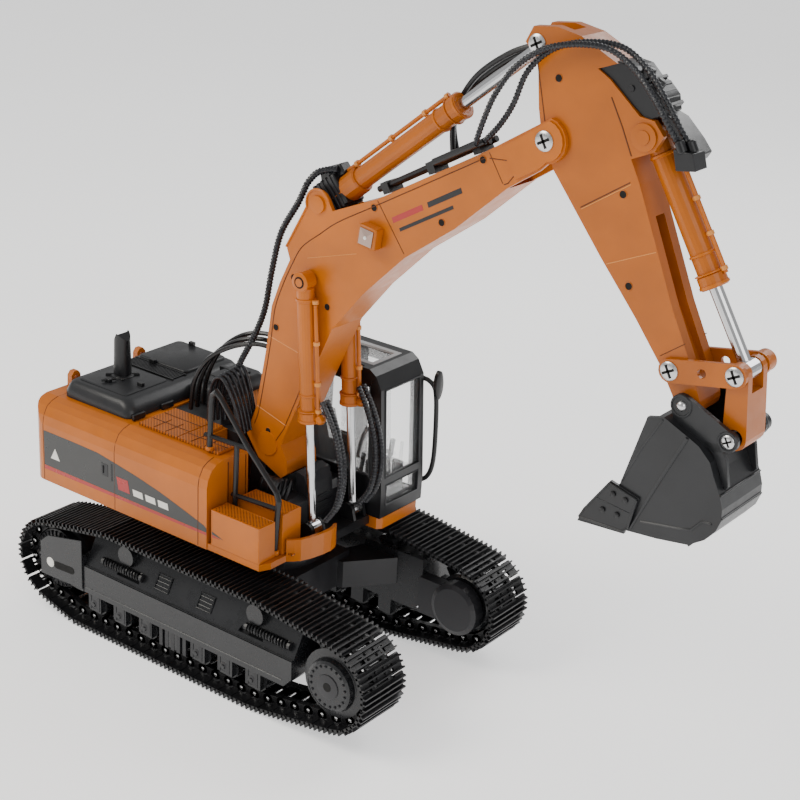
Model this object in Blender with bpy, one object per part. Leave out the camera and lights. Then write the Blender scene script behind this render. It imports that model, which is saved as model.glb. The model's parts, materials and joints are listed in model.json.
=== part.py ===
"""A 1/16 class tracked toy excavator: undercarriage, turning house, boom, arm and bucket.

Sizes are in millimetres. X runs forward from the swing axis, Y to the cab side, Z up from the ground.
The last step moves everything so that the middle of the machine's box stands on the origin.
"""
import math

import bmesh
import bpy
from mathutils import Matrix, Vector

MM = 0.001
GAP = 0.3                      # between pieces that touch
RUN = 0.3                      # between pieces that move past each other

# Tracks
TRACK_WIDTH = 195.0            # over both shoes
SHOE_WIDTH = 45.0
LINKS = 58
GROUSER_RISE = 7.0             # grouser tip beyond the pin line
SHOE_RISE = 4.6                # shoe plate beyond the pin line
SHOE_UNDER = 2.2               # underside of the shoe plate beyond the pin line
RAIL_DROP = 4.5                # link rails inside the pin line
RAIL_WIDTH = 5.0
CHAIN_WIDTH = 22.0
SPROCKET_X = 140.0
SPROCKET_Z = 48.0
IDLER_X = -140.0
IDLER_Z = 44.0
WRAP_RADIUS = 29.0             # pin line round sprocket and idler
TOP_RUN_Z = 85.0               # pin line over the carrier rollers
TOP_RUN_HALF = 76.0
GROUND_FRONT_X = 70.0
GROUND_REAR_X = -115.0
SPROCKET_TEETH = 13
TOOTH_TIP_RADIUS = 30.0
TOOTH_WIDTH = 6.0
FLANGE_RADIUS = 26.0
HUB_RADIUS = 18.0

# Track frames
FRAME_REAR_X = -104.0
FRAME_FRONT_X = 106.0
FRAME_OUT_Y = 94.0
FRAME_IN_Y = 56.0
FRAME_BOTTOM_Z = 31.0
FRAME_LEDGE_Z = 53.0
FRAME_TOP_Z = 75.0
ROLLER_RADIUS = 9.0
ROLLER_PITCH = 27.3
ROLLER_COUNT = 7
CARRIER_X = 65.0

# House
SLEW_Z = 84.0
DECK_Z = 103.0
DECK_THICK = 5.0
HOUSE_HALF_WIDTH = 81.0
HOUSE_REAR_X = -173.0
HOUSE_TOP_Z = 168.0
SIDE_TOP_Z = 150.0             # where the side rounds over
TOP_EDGE_Y = 65.0
SEAM_REAR_X = -160.0
SEAM_MID_X = -82.0
BODY_FRONT_X = 12.0
WALL = 2.3
WELL_RIGHT_Y = -20.5
WELL_LEFT_Y = 20.0
NOSE_X = 78.0
NOSE_TOP_Z = 120.0
TREAD_THICK = 2.0

# Cab
CAB_RIGHT_Y = 33.0
CAB_LEFT_Y = 84.0
CAB_REAR_X = -20.0
CAB_FRONT_X = 80.0
CAB_LEAN = 6.0
CAB_BASE_Z = 100.0
CAB_FLOOR_Z = 109.0
CAB_ROOF_Z = 225.0
GLASS_THICK = 1.4

# Boom, arm and bucket pivots as (x, z)
BOOM_FOOT = (11.5, 166.0)
ARM_PIVOT = (231.0, 433.7)
BUCKET_PIVOT = (343.6, 293.6)
BOOM_CYL_BASE = (62.0, 116.5)
BOOM_CYL_TOP = (49.0, 302.0)
ARM_CYL_BASE = (53.0, 356.0)
ARM_CYL_END = (217.6, 490.0)
BUCKET_CYL_BASE = (296.3, 447.5)
ROCKER_PIVOT = (331.0, 311.7)
LINK_TOP = (374.0, 319.8)
LINK_BOTTOM = (376.5, 280.0)
BOOM_PLATE_IN = 13.5
BOOM_PLATE_OUT = 16.5
ARM_HALF = 13.2
BUCKET_HALF = 26.0
BUCKET_WALL = 3.0
ROCKER_THICK = 3.0
PIN_RADIUS = 3.0
PIN_HOLE = 3.4

# Cylinders
BOOM_CYL_Y = 23.0
BOOM_BARREL_LENGTH = 104.0
BOOM_BARREL_RADIUS = 6.2
BOOM_BORE_RADIUS = 4.7
BOOM_ROD_RADIUS = 3.1
BOOM_ROD_LENGTH = 128.0
ARM_BARREL_LENGTH = 134.0
ARM_BARREL_RADIUS = 7.6
ARM_BORE_RADIUS = 6.2
ARM_ROD_RADIUS = 4.3
ARM_ROD_LENGTH = 170.0
BUCKET_BARREL_LENGTH = 97.0
BUCKET_BARREL_RADIUS = 7.6
BUCKET_BORE_RADIUS = 6.8
BUCKET_ROD_RADIUS = 4.2
BUCKET_ROD_LENGTH = 100.0
EYE_RADIUS = 6.5

ORANGE = (0.72, 0.32, 0.045)
ARM_ORANGE = (0.62, 0.27, 0.04)
BLACK = (0.03, 0.03, 0.032)
DARK = (0.05, 0.05, 0.052)
STEEL = (0.45, 0.45, 0.46)
CHROME = (0.75, 0.75, 0.76)
GREY = (0.16, 0.16, 0.165)
GLASS = (0.12, 0.14, 0.15)
BOARD_GREEN = (0.02, 0.16, 0.07)
BATTERY_BLUE = (0.03, 0.08, 0.35)
LAMP_WHITE = (0.8, 0.8, 0.78)


def clear_scene():
    for obj in list(bpy.data.objects):
        bpy.data.objects.remove(obj, do_unlink=True)


def material(name, colour, roughness, metallic):
    """The named Principled material, made once."""
    found = bpy.data.materials.get(name)
    if found:
        return found
    made = bpy.data.materials.new(name)
    made.use_nodes = True
    shader = made.node_tree.nodes["Principled BSDF"]
    shader.inputs["Base Color"].default_value = (*colour, 1.0)
    shader.inputs["Roughness"].default_value = roughness
    shader.inputs["Metallic"].default_value = metallic
    return made


def add_object(name, bm):
    """A mesh object from a bmesh in millimetres, in the machine's own coordinates."""
    bmesh.ops.recalc_face_normals(bm, faces=bm.faces)
    bmesh.ops.scale(bm, vec=(MM, MM, MM), verts=bm.verts)
    mesh = bpy.data.meshes.new(name)
    bm.to_mesh(mesh)
    bm.free()
    obj = bpy.data.objects.new(name, mesh)
    bpy.context.scene.collection.objects.link(obj)
    return obj


def extruded(rings):
    """A closed solid through rings of points with equal counts."""
    bm = bmesh.new()
    rows = [[bm.verts.new(point) for point in ring] for ring in rings]
    count = len(rows[0])
    for low, high in zip(rows, rows[1:]):
        for i in range(count):
            bm.faces.new((low[i], low[(i + 1) % count], high[(i + 1) % count], high[i]))
    bm.faces.new(rows[0])
    bm.faces.new(rows[-1])
    return bm


def prism_y(outline, y0, y1):
    """An (x, z) outline extruded along Y."""
    return extruded([[(x, y, z) for x, z in outline] for y in (y0, y1)])


def prism_x(outline, x0, x1):
    """A (y, z) outline extruded along X."""
    return extruded([[(x, y, z) for y, z in outline] for x in (x0, x1)])


def prism_z(outline, z0, z1):
    """An (x, y) outline extruded along Z."""
    return extruded([[(x, y, z) for x, y in outline] for z in (z0, z1)])


def box(x0, x1, y0, y1, z0, z1):
    return prism_z([(x0, y0), (x1, y0), (x1, y1), (x0, y1)], z0, z1)


def turned(profile, centre, axis, sides=24):
    """A solid of revolution from (distance along axis, radius) points."""
    axis = Vector(axis).normalized()
    side = axis.orthogonal().normalized()
    other = axis.cross(side)
    centre = Vector(centre)
    rings = []
    for along, radius in profile:
        ring = []
        for i in range(sides):
            turn = 2 * math.pi * i / sides
            out = side * math.cos(turn) + other * math.sin(turn)
            ring.append(centre + axis * along + out * radius)
        rings.append(ring)
    return extruded(rings)


def cylinder(start, end, radius, sides=20):
    length = (Vector(end) - Vector(start)).length
    return turned([(0, radius), (length, radius)], start, Vector(end) - Vector(start), sides)


def cross_pin(pivot, half_span, radius, sides=20, y=0.0):
    """A cylinder along Y through an (x, z) pivot."""
    return cylinder((pivot[0], y - half_span, pivot[1]), (pivot[0], y + half_span, pivot[1]), radius, sides)


def swept(points, radius, sides=10):
    """A round bar along a polyline, mitred at its corners."""
    points = [Vector(p) for p in points]
    rings = []
    side = None
    for i, point in enumerate(points):
        before = (point - points[i - 1]).normalized() if i else None
        after = (points[i + 1] - point).normalized() if i + 1 < len(points) else None
        along = ((before or after) + (after or before)).normalized()
        if side is None:
            side = along.orthogonal().normalized()
        side = (side - along * side.dot(along)).normalized()
        other = along.cross(side)
        stretch = 1.0
        if before and after:
            stretch = 1.0 / max(0.5, along.dot(after))
        ring = []
        for k in range(sides):
            turn = 2 * math.pi * k / sides
            ring.append(point + (side * math.cos(turn) + other * math.sin(turn)) * radius * stretch)
        rings.append(ring)
    return extruded(rings)


def arc(centre, radius, start, end, count):
    """Points from angle start to end, in degrees, both included."""
    points = []
    for i in range(count + 1):
        turn = math.radians(start + (end - start) * i / count)
        points.append((centre[0] + radius * math.cos(turn), centre[1] + radius * math.sin(turn)))
    return points


def boolean(obj, operation, others):
    """Apply exact Booleans with the other solids, then drop them."""
    for index, bm in enumerate(others):
        helper = add_object(f"{obj.name}_{operation}_{index}", bm)
        step = obj.modifiers.new(operation, "BOOLEAN")
        step.operation = operation
        step.solver = "EXACT"
        step.object = helper
        graph = bpy.context.evaluated_depsgraph_get()
        result = bpy.data.meshes.new_from_object(obj.evaluated_get(graph))
        obj.modifiers.clear()
        obj.data = result
        bpy.data.objects.remove(helper, do_unlink=True)


def piece(name, solid, look, parent, joined=(), cuts=(), smooth=True):
    """One node: a solid, what is united with it and what is cut from it."""
    obj = add_object(name, solid)
    boolean(obj, "UNION", joined)
    boolean(obj, "DIFFERENCE", cuts)
    obj.data.materials.clear()
    obj.data.materials.append(material(*look))
    finish(obj, parent, smooth)
    return obj


def finish(obj, parent, smooth=True):
    """Shade a finished mesh, keeping its corners sharp, and attach it."""
    if smooth:
        obj.data.shade_smooth()
        obj.data.set_sharp_from_angle(angle=math.radians(32))
    attach(obj, parent)


def detach(obj):
    """Undo attach, so that more solids can be joined in the machine's own coordinates."""
    obj.data.transform(Matrix.Translation(obj.parent.matrix_world.translation))
    obj.parent = None


def attach(obj, parent):
    """Parent an object to an empty and put its origin there, leaving its shape in place."""
    pivot = parent.matrix_world.translation.copy()
    if obj.type == "MESH":
        obj.data.transform(Matrix.Translation(-pivot))
    else:
        for spline in obj.data.splines:
            for point in spline.points:
                point.co = (*(Vector(point.co[:3]) - pivot), 1.0)
    obj.parent = parent
    bpy.context.view_layer.update()


def axis_empty(name, x, y, z, parent=None):
    empty = bpy.data.objects.new(name, None)
    empty.empty_display_size = 0.01
    bpy.context.scene.collection.objects.link(empty)
    here = Vector((x, y, z)) * MM
    if parent:
        empty.parent = parent
        here = here - parent.matrix_world.translation
    empty.location = here
    bpy.context.view_layer.update()
    return empty


def smooth_route(points, steps):
    """Catmull-Rom points through a route, ends included."""
    points = [Vector(p) for p in points]
    ends = [points[0] * 2 - points[1]] + points + [points[-1] * 2 - points[-2]]
    route = []
    for i in range(len(points) - 1):
        a, b, c, d = ends[i:i + 4]
        for k in range(steps):
            t = k / steps
            route.append(0.5 * ((2 * b) + (c - a) * t + (2 * a - 5 * b + 4 * c - d) * t * t
                                + (3 * b - a - 3 * c + d) * t * t * t))
    route.append(points[-1])
    return route


def hose(name, points, radius, parent, steps=3):
    """A held hose: one tube on a smooth curve through its route."""
    curve = bpy.data.curves.new(name, "CURVE")
    curve.dimensions = "3D"
    curve.bevel_depth = radius * MM
    curve.bevel_resolution = 2
    curve.use_fill_caps = True
    route = smooth_route(points, steps)
    spline = curve.splines.new("POLY")
    spline.points.add(len(route) - 1)
    for target, point in zip(spline.points, route):
        target.co = (point.x * MM, point.y * MM, point.z * MM, 1.0)
    curve.materials.append(material("hose_rubber", BLACK, 0.6, 0.0))
    obj = bpy.data.objects.new(name, curve)
    bpy.context.scene.collection.objects.link(obj)
    attach(obj, parent)
    return obj


def towards(start, end, distance):
    """The (x, z) point at a distance from start towards end."""
    length = math.dist(start, end)
    return tuple(a + (b - a) * distance / length for a, b in zip(start, end))


# ---------------------------------------------------------------- tracks

def pin_line():
    """The closed path of the track pins as (x, z), evenly spaced, anticlockwise from the rear."""
    ground = GROUSER_RISE
    corners = [(GROUND_REAR_X, ground), (GROUND_FRONT_X, ground)]
    front = arc((SPROCKET_X, SPROCKET_Z), WRAP_RADIUS, -76, 80, 18)
    top = [(TOP_RUN_HALF, TOP_RUN_Z), (-TOP_RUN_HALF, TOP_RUN_Z)]
    rear = arc((IDLER_X, IDLER_Z), WRAP_RADIUS, 100, 252, 18)
    path = [Vector(p) for p in corners + front + top + rear]
    spans = [(path[(i + 1) % len(path)] - path[i]).length for i in range(len(path))]
    total = sum(spans)
    steps = LINKS * 2
    result = []
    index, passed = 0, 0.0
    for k in range(steps):
        want = total * k / steps
        while passed + spans[index] < want:
            passed += spans[index]
            index += 1
        part = (want - passed) / spans[index]
        result.append(path[index].lerp(path[(index + 1) % len(path)], part))
    return result


def track_loop(side, parent):
    """The belt of shoes on two rails, one closed ring, notched once for each shoe off the ground."""
    path = pin_line()
    count = len(path)
    shoe = SHOE_WIDTH / 2
    rail_out = CHAIN_WIDTH / 2
    rail_in = rail_out - RAIL_WIDTH
    centre = side * (TRACK_WIDTH - SHOE_WIDTH) / 2
    rings = []
    for i, point in enumerate(path):
        along = (path[(i + 1) % count] - path[i - 1]).normalized()
        out = Vector((along.y, -along.x))
        on_ground = point.y < GROUSER_RISE + 0.01
        rise = GROUSER_RISE if i % 2 or on_ground else SHOE_RISE
        section = [(-shoe, rise), (-shoe, SHOE_UNDER), (-rail_out, SHOE_UNDER), (-rail_out, -RAIL_DROP),
                   (-rail_in, -RAIL_DROP), (-rail_in, SHOE_UNDER), (rail_in, SHOE_UNDER),
                   (rail_in, -RAIL_DROP), (rail_out, -RAIL_DROP), (rail_out, SHOE_UNDER),
                   (shoe, SHOE_UNDER), (shoe, rise)]
        ring = []
        for across, offset in section:
            ring.append((point.x + out.x * offset, centre + across, point.y + out.y * offset))
        rings.append(ring)
    bm = bmesh.new()
    rows = [[bm.verts.new(p) for p in ring] for ring in rings]
    for i in range(count):
        low, high = rows[i], rows[(i + 1) % count]
        for k in range(len(low)):
            n = (k + 1) % len(low)
            bm.faces.new((low[k], low[n], high[n], high[k]))
    name = "track_loop_right" if side < 0 else "track_loop_left"
    return piece(name, bm, ("track_plastic", BLACK, 0.55, 0.0), parent, smooth=False)


def sprocket(side, parent):
    """Toothed drum between the rails with an outer flange and hub."""
    centre = side * (TRACK_WIDTH - SHOE_WIDTH) / 2
    outline = []
    for tooth in range(SPROCKET_TEETH):
        base = 360.0 / SPROCKET_TEETH * tooth
        for turn, radius in ((-9.0, 23.5), (-3.2, TOOTH_TIP_RADIUS), (3.2, TOOTH_TIP_RADIUS), (9.0, 23.5)):
            angle = math.radians(base + turn)
            outline.append((SPROCKET_X + radius * math.cos(angle), SPROCKET_Z + radius * math.sin(angle)))
    teeth = prism_y(outline, centre - TOOTH_WIDTH / 2, centre + TOOTH_WIDTH / 2)
    rail_out = CHAIN_WIDTH / 2
    axis = (0, side, 0)
    start = (SPROCKET_X, side * 63.3, SPROCKET_Z)
    face = abs(centre) + rail_out + 0.6 - 63.3
    profile = [(0, 21), (1.5, 23.2), (face, 23.2), (face, FLANGE_RADIUS), (face + 2.2, FLANGE_RADIUS),
               (face + 3.0, HUB_RADIUS + 2), (face + 7.6, HUB_RADIUS + 1), (face + 8.6, HUB_RADIUS - 1)]
    drum = turned(profile, start, axis, 26)
    name = "sprocket_right" if side < 0 else "sprocket_left"
    dimple = turned([(face + 6.5, 6), (face + 12, 6)], start, axis, 20)
    return piece(name, drum, ("wheel_plastic", DARK, 0.5, 0.0), parent, joined=[teeth], cuts=[dimple])


def idler(side, parent):
    """Idler wheel: two treads on the rails and a ridge between them."""
    centre = side * (TRACK_WIDTH - SHOE_WIDTH) / 2
    tread = WRAP_RADIUS - RAIL_DROP - RUN
    profile = [(-12, 12), (-12, 20), (-11, tread), (-4.5, tread), (-3.5, tread + 3.5), (3.5, tread + 3.5),
               (4.5, tread), (11, tread), (12, 20), (12, 12)]
    rim = turned(profile, (IDLER_X, centre, IDLER_Z), (0, 1, 0), 26)
    boss = cross_pin((IDLER_X, IDLER_Z), 15.5, 6.5, 20, centre)
    name = "idler_right" if side < 0 else "idler_left"
    return piece(name, rim, ("wheel_plastic", DARK, 0.5, 0.0), parent, joined=[boss])


def idler_yoke(side, parent):
    """Bracket plates either side of the idler, joined behind its rim."""
    def across(low, high):
        return sorted((side * low, side * high))
    outline = [(-101, 31), (-101, 61), (-112, 61)]
    outline += arc((IDLER_X, IDLER_Z), 9.0, 62, 285, 8) + [(-124, 33), (-112, 31)]
    outer = prism_y(outline, *across(91.2, 94.5))
    inner = prism_y(outline, *across(55.5, 58.8))
    bridge = box(-110.5, FRAME_REAR_X - GAP, *across(55.5, 94.5), 33, 59)
    slot = prism_y(arc((-112, 44), 2.5, -90, 90, 5) + arc((-127, 44), 2.5, 90, 270, 5), *across(90, 96))
    clear = box(FRAME_REAR_X - GAP, -95, *across(50, 100), 20, 70)
    name = "idler_yoke_right" if side < 0 else "idler_yoke_left"
    return piece(name, outer, ("frame_plastic", GREY, 0.5, 0.0), parent, joined=[inner, bridge],
                 cuts=[slot, clear])


def track_frame(side, parent):
    """The side frame with its sloped shoulder, rollers and carrier rollers."""
    low, ledge, top = FRAME_BOTTOM_Z, FRAME_LEDGE_Z, FRAME_TOP_Z
    section = [(side * y, z) for y, z in ((FRAME_IN_Y, low), (FRAME_OUT_Y, low), (FRAME_OUT_Y, ledge),
                                          (FRAME_OUT_Y - 2, ledge), (FRAME_OUT_Y - 14, top),
                                          (FRAME_IN_Y, top))]
    beam = prism_x(section, FRAME_REAR_X, FRAME_FRONT_X)
    centre = side * (TRACK_WIDTH - SHOE_WIDTH) / 2
    rail_top = GROUSER_RISE + RAIL_DROP + RUN
    joined = []
    first = -ROLLER_PITCH * (ROLLER_COUNT - 1) / 2 - 13
    for i in range(ROLLER_COUNT):
        x = first + i * ROLLER_PITCH
        joined.append(cross_pin((x, rail_top + ROLLER_RADIUS), 12.5, ROLLER_RADIUS, 14, centre))
        for end in (-1, 1):
            y = centre + end * 14.0
            joined.append(box(x - 6, x + 6, y - 2.2, y + 2.2, rail_top + 4, low + 2))
    shaft_z = TOP_RUN_Z - RAIL_DROP - RUN - 8
    for x in (-CARRIER_X, CARRIER_X):
        joined.append(cross_pin((x, shaft_z), 12.5, 8.0, 14, centre))
    slots = [prism_y([(x, ledge + 3), (x + 24, ledge + 3), (x + 20, ledge + 12), (x + 4, ledge + 12)],
                     *sorted((side * 87.5, side * 99))) for x in (-72, 52)]
    chamfer = prism_y([(FRAME_FRONT_X + 1, 40), (FRAME_FRONT_X + 1, low - 1), (FRAME_FRONT_X - 8, low - 1)],
                      *sorted((side * 50, side * 99)))
    name = "track_frame_right" if side < 0 else "track_frame_left"
    return piece(name, beam, ("frame_plastic", GREY, 0.5, 0.0), parent, joined=joined, cuts=slots + [chamfer])


def final_drive(side, parent):
    """Drive housing behind the sprocket, bolted to the end of the side frame."""
    start = (SPROCKET_X, side * 49.0, SPROCKET_Z)
    housing = turned([(0, 17), (1.5, 20.5), (11, 20.5), (13.9, 16)], start, (0, side, 0), 28)
    low, high = sorted((side * 52.0, side * 62.0))
    arm = box(FRAME_FRONT_X + GAP, SPROCKET_X - 8, low, high, 33, 63)
    name = "final_drive_right" if side < 0 else "final_drive_left"
    return piece(name, housing, ("drive_plastic", DARK, 0.5, 0.0), parent, joined=[arm])


def chassis(parent):
    """Centre frame whose four legs reach the side frames."""
    hub = turned([(50, 42), (66, 46), (SLEW_Z, 46)], (0, 0, 0), (0, 0, 1), 32)
    joined = [box(-52, 52, -34, 34, 48, 74)]
    reach = FRAME_IN_Y - GAP
    for sx in (-1, 1):
        for sy in (-1, 1):
            leg = [(sx * 30, sy * 10), (sx * 56, sy * 22), (sx * 82, sy * reach), (sx * 48, sy * reach)]
            joined.append(prism_z(leg, 47, 69))
    return piece("chassis", hub, ("chassis_plastic", BLACK, 0.5, 0.0), parent, joined=joined)


def slew_lower(parent):
    ring = turned([(0, 44), (6, 44), (7, 42.5), (9.4, 42.5)], (0, 0, SLEW_Z + GAP), (0, 0, 1), 28)
    bore = cylinder((0, 0, 80), (0, 0, 100), 28, 24)
    return piece("slew_ring_lower", ring, ("slew_steel", STEEL, 0.35, 1.0), parent, cuts=[bore])


# ---------------------------------------------------------------- house

def body_section(y0, y1, bottom, grow=0.0):
    """The (y, z) section of the body between two sides, rounded where it reaches the outer side."""
    half = HOUSE_HALF_WIDTH - grow
    top = HOUSE_TOP_Z - grow
    bend = [(half, SIDE_TOP_Z - grow), (half - 1.2, SIDE_TOP_Z + 7 - grow),
            (half - 5, SIDE_TOP_Z + 13.5 - grow),
            (half - 10, top - 1.6), (TOP_EDGE_Y - grow / 2, top)]
    left = [(y0, top), (y0, bottom)]
    if y0 <= -half:
        left = [(-y, z) for y, z in reversed(bend)] + [(-half, bottom)]
    right = [(y1, bottom), (y1, top)]
    if y1 >= half:
        right = [(half, bottom)] + bend
    return left + right


def platform(parent):
    """Deck plate of the house with the skirt round its nose."""
    edge = HOUSE_HALF_WIDTH - WALL - GAP
    rear = SEAM_REAR_X + WALL + GAP
    deck = [(rear, -edge), (BODY_FRONT_X + GAP, -edge), (BODY_FRONT_X + GAP, -edge - 2), (62, -edge - 2),
            (66, -72), (66, -58)]
    lobe = [(66, -56), (70, -52), (73, -48), (76, -40), (NOSE_X, -29), (NOSE_X + 0.5, -21), (77, -14.5),
            (74.5, -10.5)]
    front = [(70, -9), (70, CAB_RIGHT_Y - GAP)]
    rest = [(CAB_REAR_X - GAP, CAB_RIGHT_Y - GAP), (CAB_REAR_X - 3, edge), (rear, edge)]
    plate = prism_z(deck + lobe + front + rest, DECK_Z, DECK_Z + DECK_THICK)
    skirt_in = [(64.5, -54.5), (68, -50.8), (70.6, -47), (73.2, -39.5), (75.2, -28.5), (75.6, -21),
                (74.6, -15.8),
                (73, -12.2)]
    skirt = prism_z(lobe + list(reversed(skirt_in)), DECK_Z + 1, NOSE_TOP_Z)
    return piece("platform", plate, ("house_orange", ORANGE, 0.4, 0.0), parent, joined=[skirt])


def slew_upper(parent):
    base = SLEW_Z + GAP + 9.4 + RUN
    outer = CAB_RIGHT_Y - 1.0
    ring = turned([(0, outer - 3), (3, outer - 3), (4, outer), (DECK_Z - GAP - base, outer)], (0, 0, base),
                  (0, 0, 1), 28)
    bore = cylinder((0, 0, 80), (0, 0, 110), 20, 24)
    return piece("slew_ring_upper", ring, ("slew_steel", STEEL, 0.35, 1.0), parent, cuts=[bore])


def rounded_rear(low_y, high_y, radius, x_front, rear_x):
    """An (x, y) outline with rounded rear corners."""
    corner = radius
    points = [(x_front, low_y)]
    points += [(p[0], p[1]) for p in reversed(arc((rear_x + corner, low_y + corner), corner, 180, 270, 6))]
    points += [(p[0], p[1]) for p in reversed(arc((rear_x + corner, high_y - corner), corner, 90, 180, 6))]
    points += [(x_front, high_y)]
    return points


def counterweight(parent):
    """Rounded rear mass with a lifting lug near each side."""
    half = HOUSE_HALF_WIDTH
    front = SEAM_REAR_X - GAP
    weight = prism_z(rounded_rear(-half, half, 12, front, HOUSE_REAR_X), DECK_Z, HOUSE_TOP_Z)
    keep = prism_x(body_section(-half, half, DECK_Z), HOUSE_REAR_X - 5, front + 5)
    obj = piece("counterweight", weight, ("house_orange", ORANGE, 0.4, 0.0), parent)
    detach(obj)
    boolean(obj, "INTERSECT", [keep])
    boolean(obj, "UNION", [prism_x([(y - 5, HOUSE_TOP_Z - 3), (y + 5, HOUSE_TOP_Z - 3),
                                    (y + 4.5, HOUSE_TOP_Z + 9),
                                    (y + 2, HOUSE_TOP_Z + 12), (y - 2, HOUSE_TOP_Z + 12),
                                    (y - 4.5, HOUSE_TOP_Z + 9)], -172, -167) for y in (-40, 30)])
    boolean(obj, "DIFFERENCE", [cylinder((-175, y, HOUSE_TOP_Z + 7), (-160, y, HOUSE_TOP_Z + 7), 2.0, 12)
                                for y in (-40, 30)])
    finish(obj, parent)
    return obj


def shell(name, y0, y1, x0, x1, parent):
    """A body cover open at the bottom, its end walls standing on the deck."""
    half = HOUSE_HALF_WIDTH
    outer = prism_x(body_section(y0, y1, DECK_Z), x0, x1)
    in0 = y0 if y0 <= -half else y0 + WALL
    in1 = y1 if y1 >= half else y1 - WALL
    inner = body_section(in0, in1, DECK_Z - 5, WALL)
    if y0 > -half:
        inner = [(max(y, in0), z) for y, z in inner]
    inside = prism_x(inner, x0 + WALL, x1 - WALL)
    deck = box(x0 - 5, x1 + 5, -half + WALL, half - WALL, DECK_Z - 5, DECK_Z + DECK_THICK + GAP)
    return piece(name, outer, ("house_orange", ORANGE, 0.4, 0.0), parent, cuts=[inside, deck])


def engine_bay(parent):
    return shell("engine_bay", -HOUSE_HALF_WIDTH, HOUSE_HALF_WIDTH, SEAM_REAR_X, SEAM_MID_X - GAP, parent)


def right_body(parent):
    """Tall side box, narrower beside the boom."""
    notch = box(-25, BODY_FRONT_X + 5, -38, WELL_RIGHT_Y + 5, DECK_Z - 10, HOUSE_TOP_Z + 10)
    obj = shell("right_body", -HOUSE_HALF_WIDTH, WELL_RIGHT_Y, SEAM_MID_X, BODY_FRONT_X, parent)
    detach(obj)
    floor = DECK_Z + DECK_THICK + GAP
    inner_wall = box(-27.3, BODY_FRONT_X - 1, -40.3, -37.0, floor, HOUSE_TOP_Z - 1)
    cross_wall = box(-27.3, -24.0, -40.0, WELL_RIGHT_Y - 1, floor, HOUSE_TOP_Z - 1)
    boolean(obj, "UNION", [inner_wall, cross_wall])
    boolean(obj, "DIFFERENCE", [notch])
    finish(obj, parent)
    return obj


def left_body(parent):
    return shell("left_body", WELL_LEFT_Y, HOUSE_HALF_WIDTH, SEAM_MID_X, CAB_REAR_X - 2 * GAP - 2, parent)


def centre_cover(parent):
    """Dark plate in the boom well between the side boxes, with two hose sockets."""
    plate = box(SEAM_MID_X + GAP, -14, WELL_RIGHT_Y + GAP, WELL_LEFT_Y - GAP, 156, HOUSE_TOP_Z - 1)
    sockets = [cylinder((-34, y, 160), (-34, y, HOUSE_TOP_Z + 3), 5.5, 16) for y in (-10, 8)]
    return piece("centre_cover", plate, ("black_plastic", DARK, 0.5, 0.0), parent, joined=sockets)


def engine_cover(parent):
    """Hood with sloping sides, raised strips and two handles."""
    base_z = HOUSE_TOP_Z + GAP
    low = [(-160, -61), (-86, -61), (-86, 66), (-160, 66)]
    high = [(-156, -57), (-96, -57), (-96, 66 - 4), (-156, 66 - 4)]
    hood = extruded([[(x, y, base_z) for x, y in low], [(x, y, 181) for x, y in high]])
    joined = [box(-152, -100, y - 4, y + 4, 179, 183) for y in (-48, 0, 22, 48)]
    joined += [swept([(-146, y, 181), (-146, y, 188), (-128, y, 188), (-128, y, 181)], 1.3,
                     8) for y in (22, 48)]
    return piece("engine_cover", hood, ("cover_plastic", GREY, 0.5, 0.0), parent, joined=joined)


def exhaust(parent):
    """Stub pipe with a slanted mouth."""
    x, y, low, high = -132, -24, 181 + GAP, 218
    pipe = cylinder((x, y, low), (x, y, high), 6.6, 24)
    bore = cylinder((x, y, low + 6), (x, y, high + 5), 5.2, 24)
    slant = extruded([[(x - 12, y + s, high - 9), (x + 12, y + s, high + 1), (x + 12, y + s, high + 12),
                       (x - 12, y + s, high + 12)] for s in (-12, 12)])
    return piece("exhaust", pipe, ("cover_plastic", GREY, 0.5, 0.0), parent, cuts=[bore, slant])


def tread_deck(parent):
    """Anti-slip plate on the side box, perforated in rows."""
    z = HOUSE_TOP_Z + GAP
    plate = prism_z([(-76, -61), (4, -61), (4, -40), (-27, -40), (-27, -23), (-76, -23)], z, z + TREAD_THICK)
    cuts = []
    for column in range(7):
        for row in range(3):
            x = -69 + column * 11
            y = -55 + row * 11
            if x > -30 and y > -44:
                continue
            cuts.append(box(x - 3, x + 3, y - 1.6, y + 1.6, z + 1, z + 4))
    return piece("tread_deck", plate, ("house_orange", ORANGE, 0.45, 0.0), parent, cuts=cuts, smooth=False)


def step_box(name, x0, x1, y0, y1, top, parent):
    """Step with a ribbed top."""
    bottom = DECK_Z + DECK_THICK + GAP
    body = box(x0, x1, y0, y1, bottom, top)
    cuts = []
    x = x0 + 5
    while x < x1 - 4:
        cuts.append(box(x, x + 1.6, y0 + 3, y1 - 3, top - 1, top + 2))
        x += 5
    return piece(name, body, ("house_orange", ORANGE, 0.45, 0.0), parent, cuts=cuts, smooth=False)


def handrail(parent):
    """Grab rail: a post on the side box, a slope down to the deck, a middle post and two rungs."""
    y = -60.9
    foot = DECK_Z + DECK_THICK + GAP
    rear_foot = HOUSE_TOP_Z + 2 * GAP + TREAD_THICK
    main = swept([(-4.5, y, rear_foot), (-3.3, y, 206), (-1.8, y, 213), (2, y, 216.6), (6.5, y, 213),
                  (33, y, 183), (60, y, 157), (62.3, y, 151), (61.6, y, 143), (59.2, y, foot)], 2.1, 10)
    joined = [swept([(-8.9, y, 181), (34.5, y, 182.2)], 1.8, 8),
              swept([(18, y, 142.3), (61, y, 144.6)], 1.8, 8),
              swept([(22, y, 182.5), (20, y, foot)], 2.0, 8)]
    return piece("handrail", main, ("black_plastic", DARK, 0.5, 0.0), parent, joined=joined)


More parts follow.
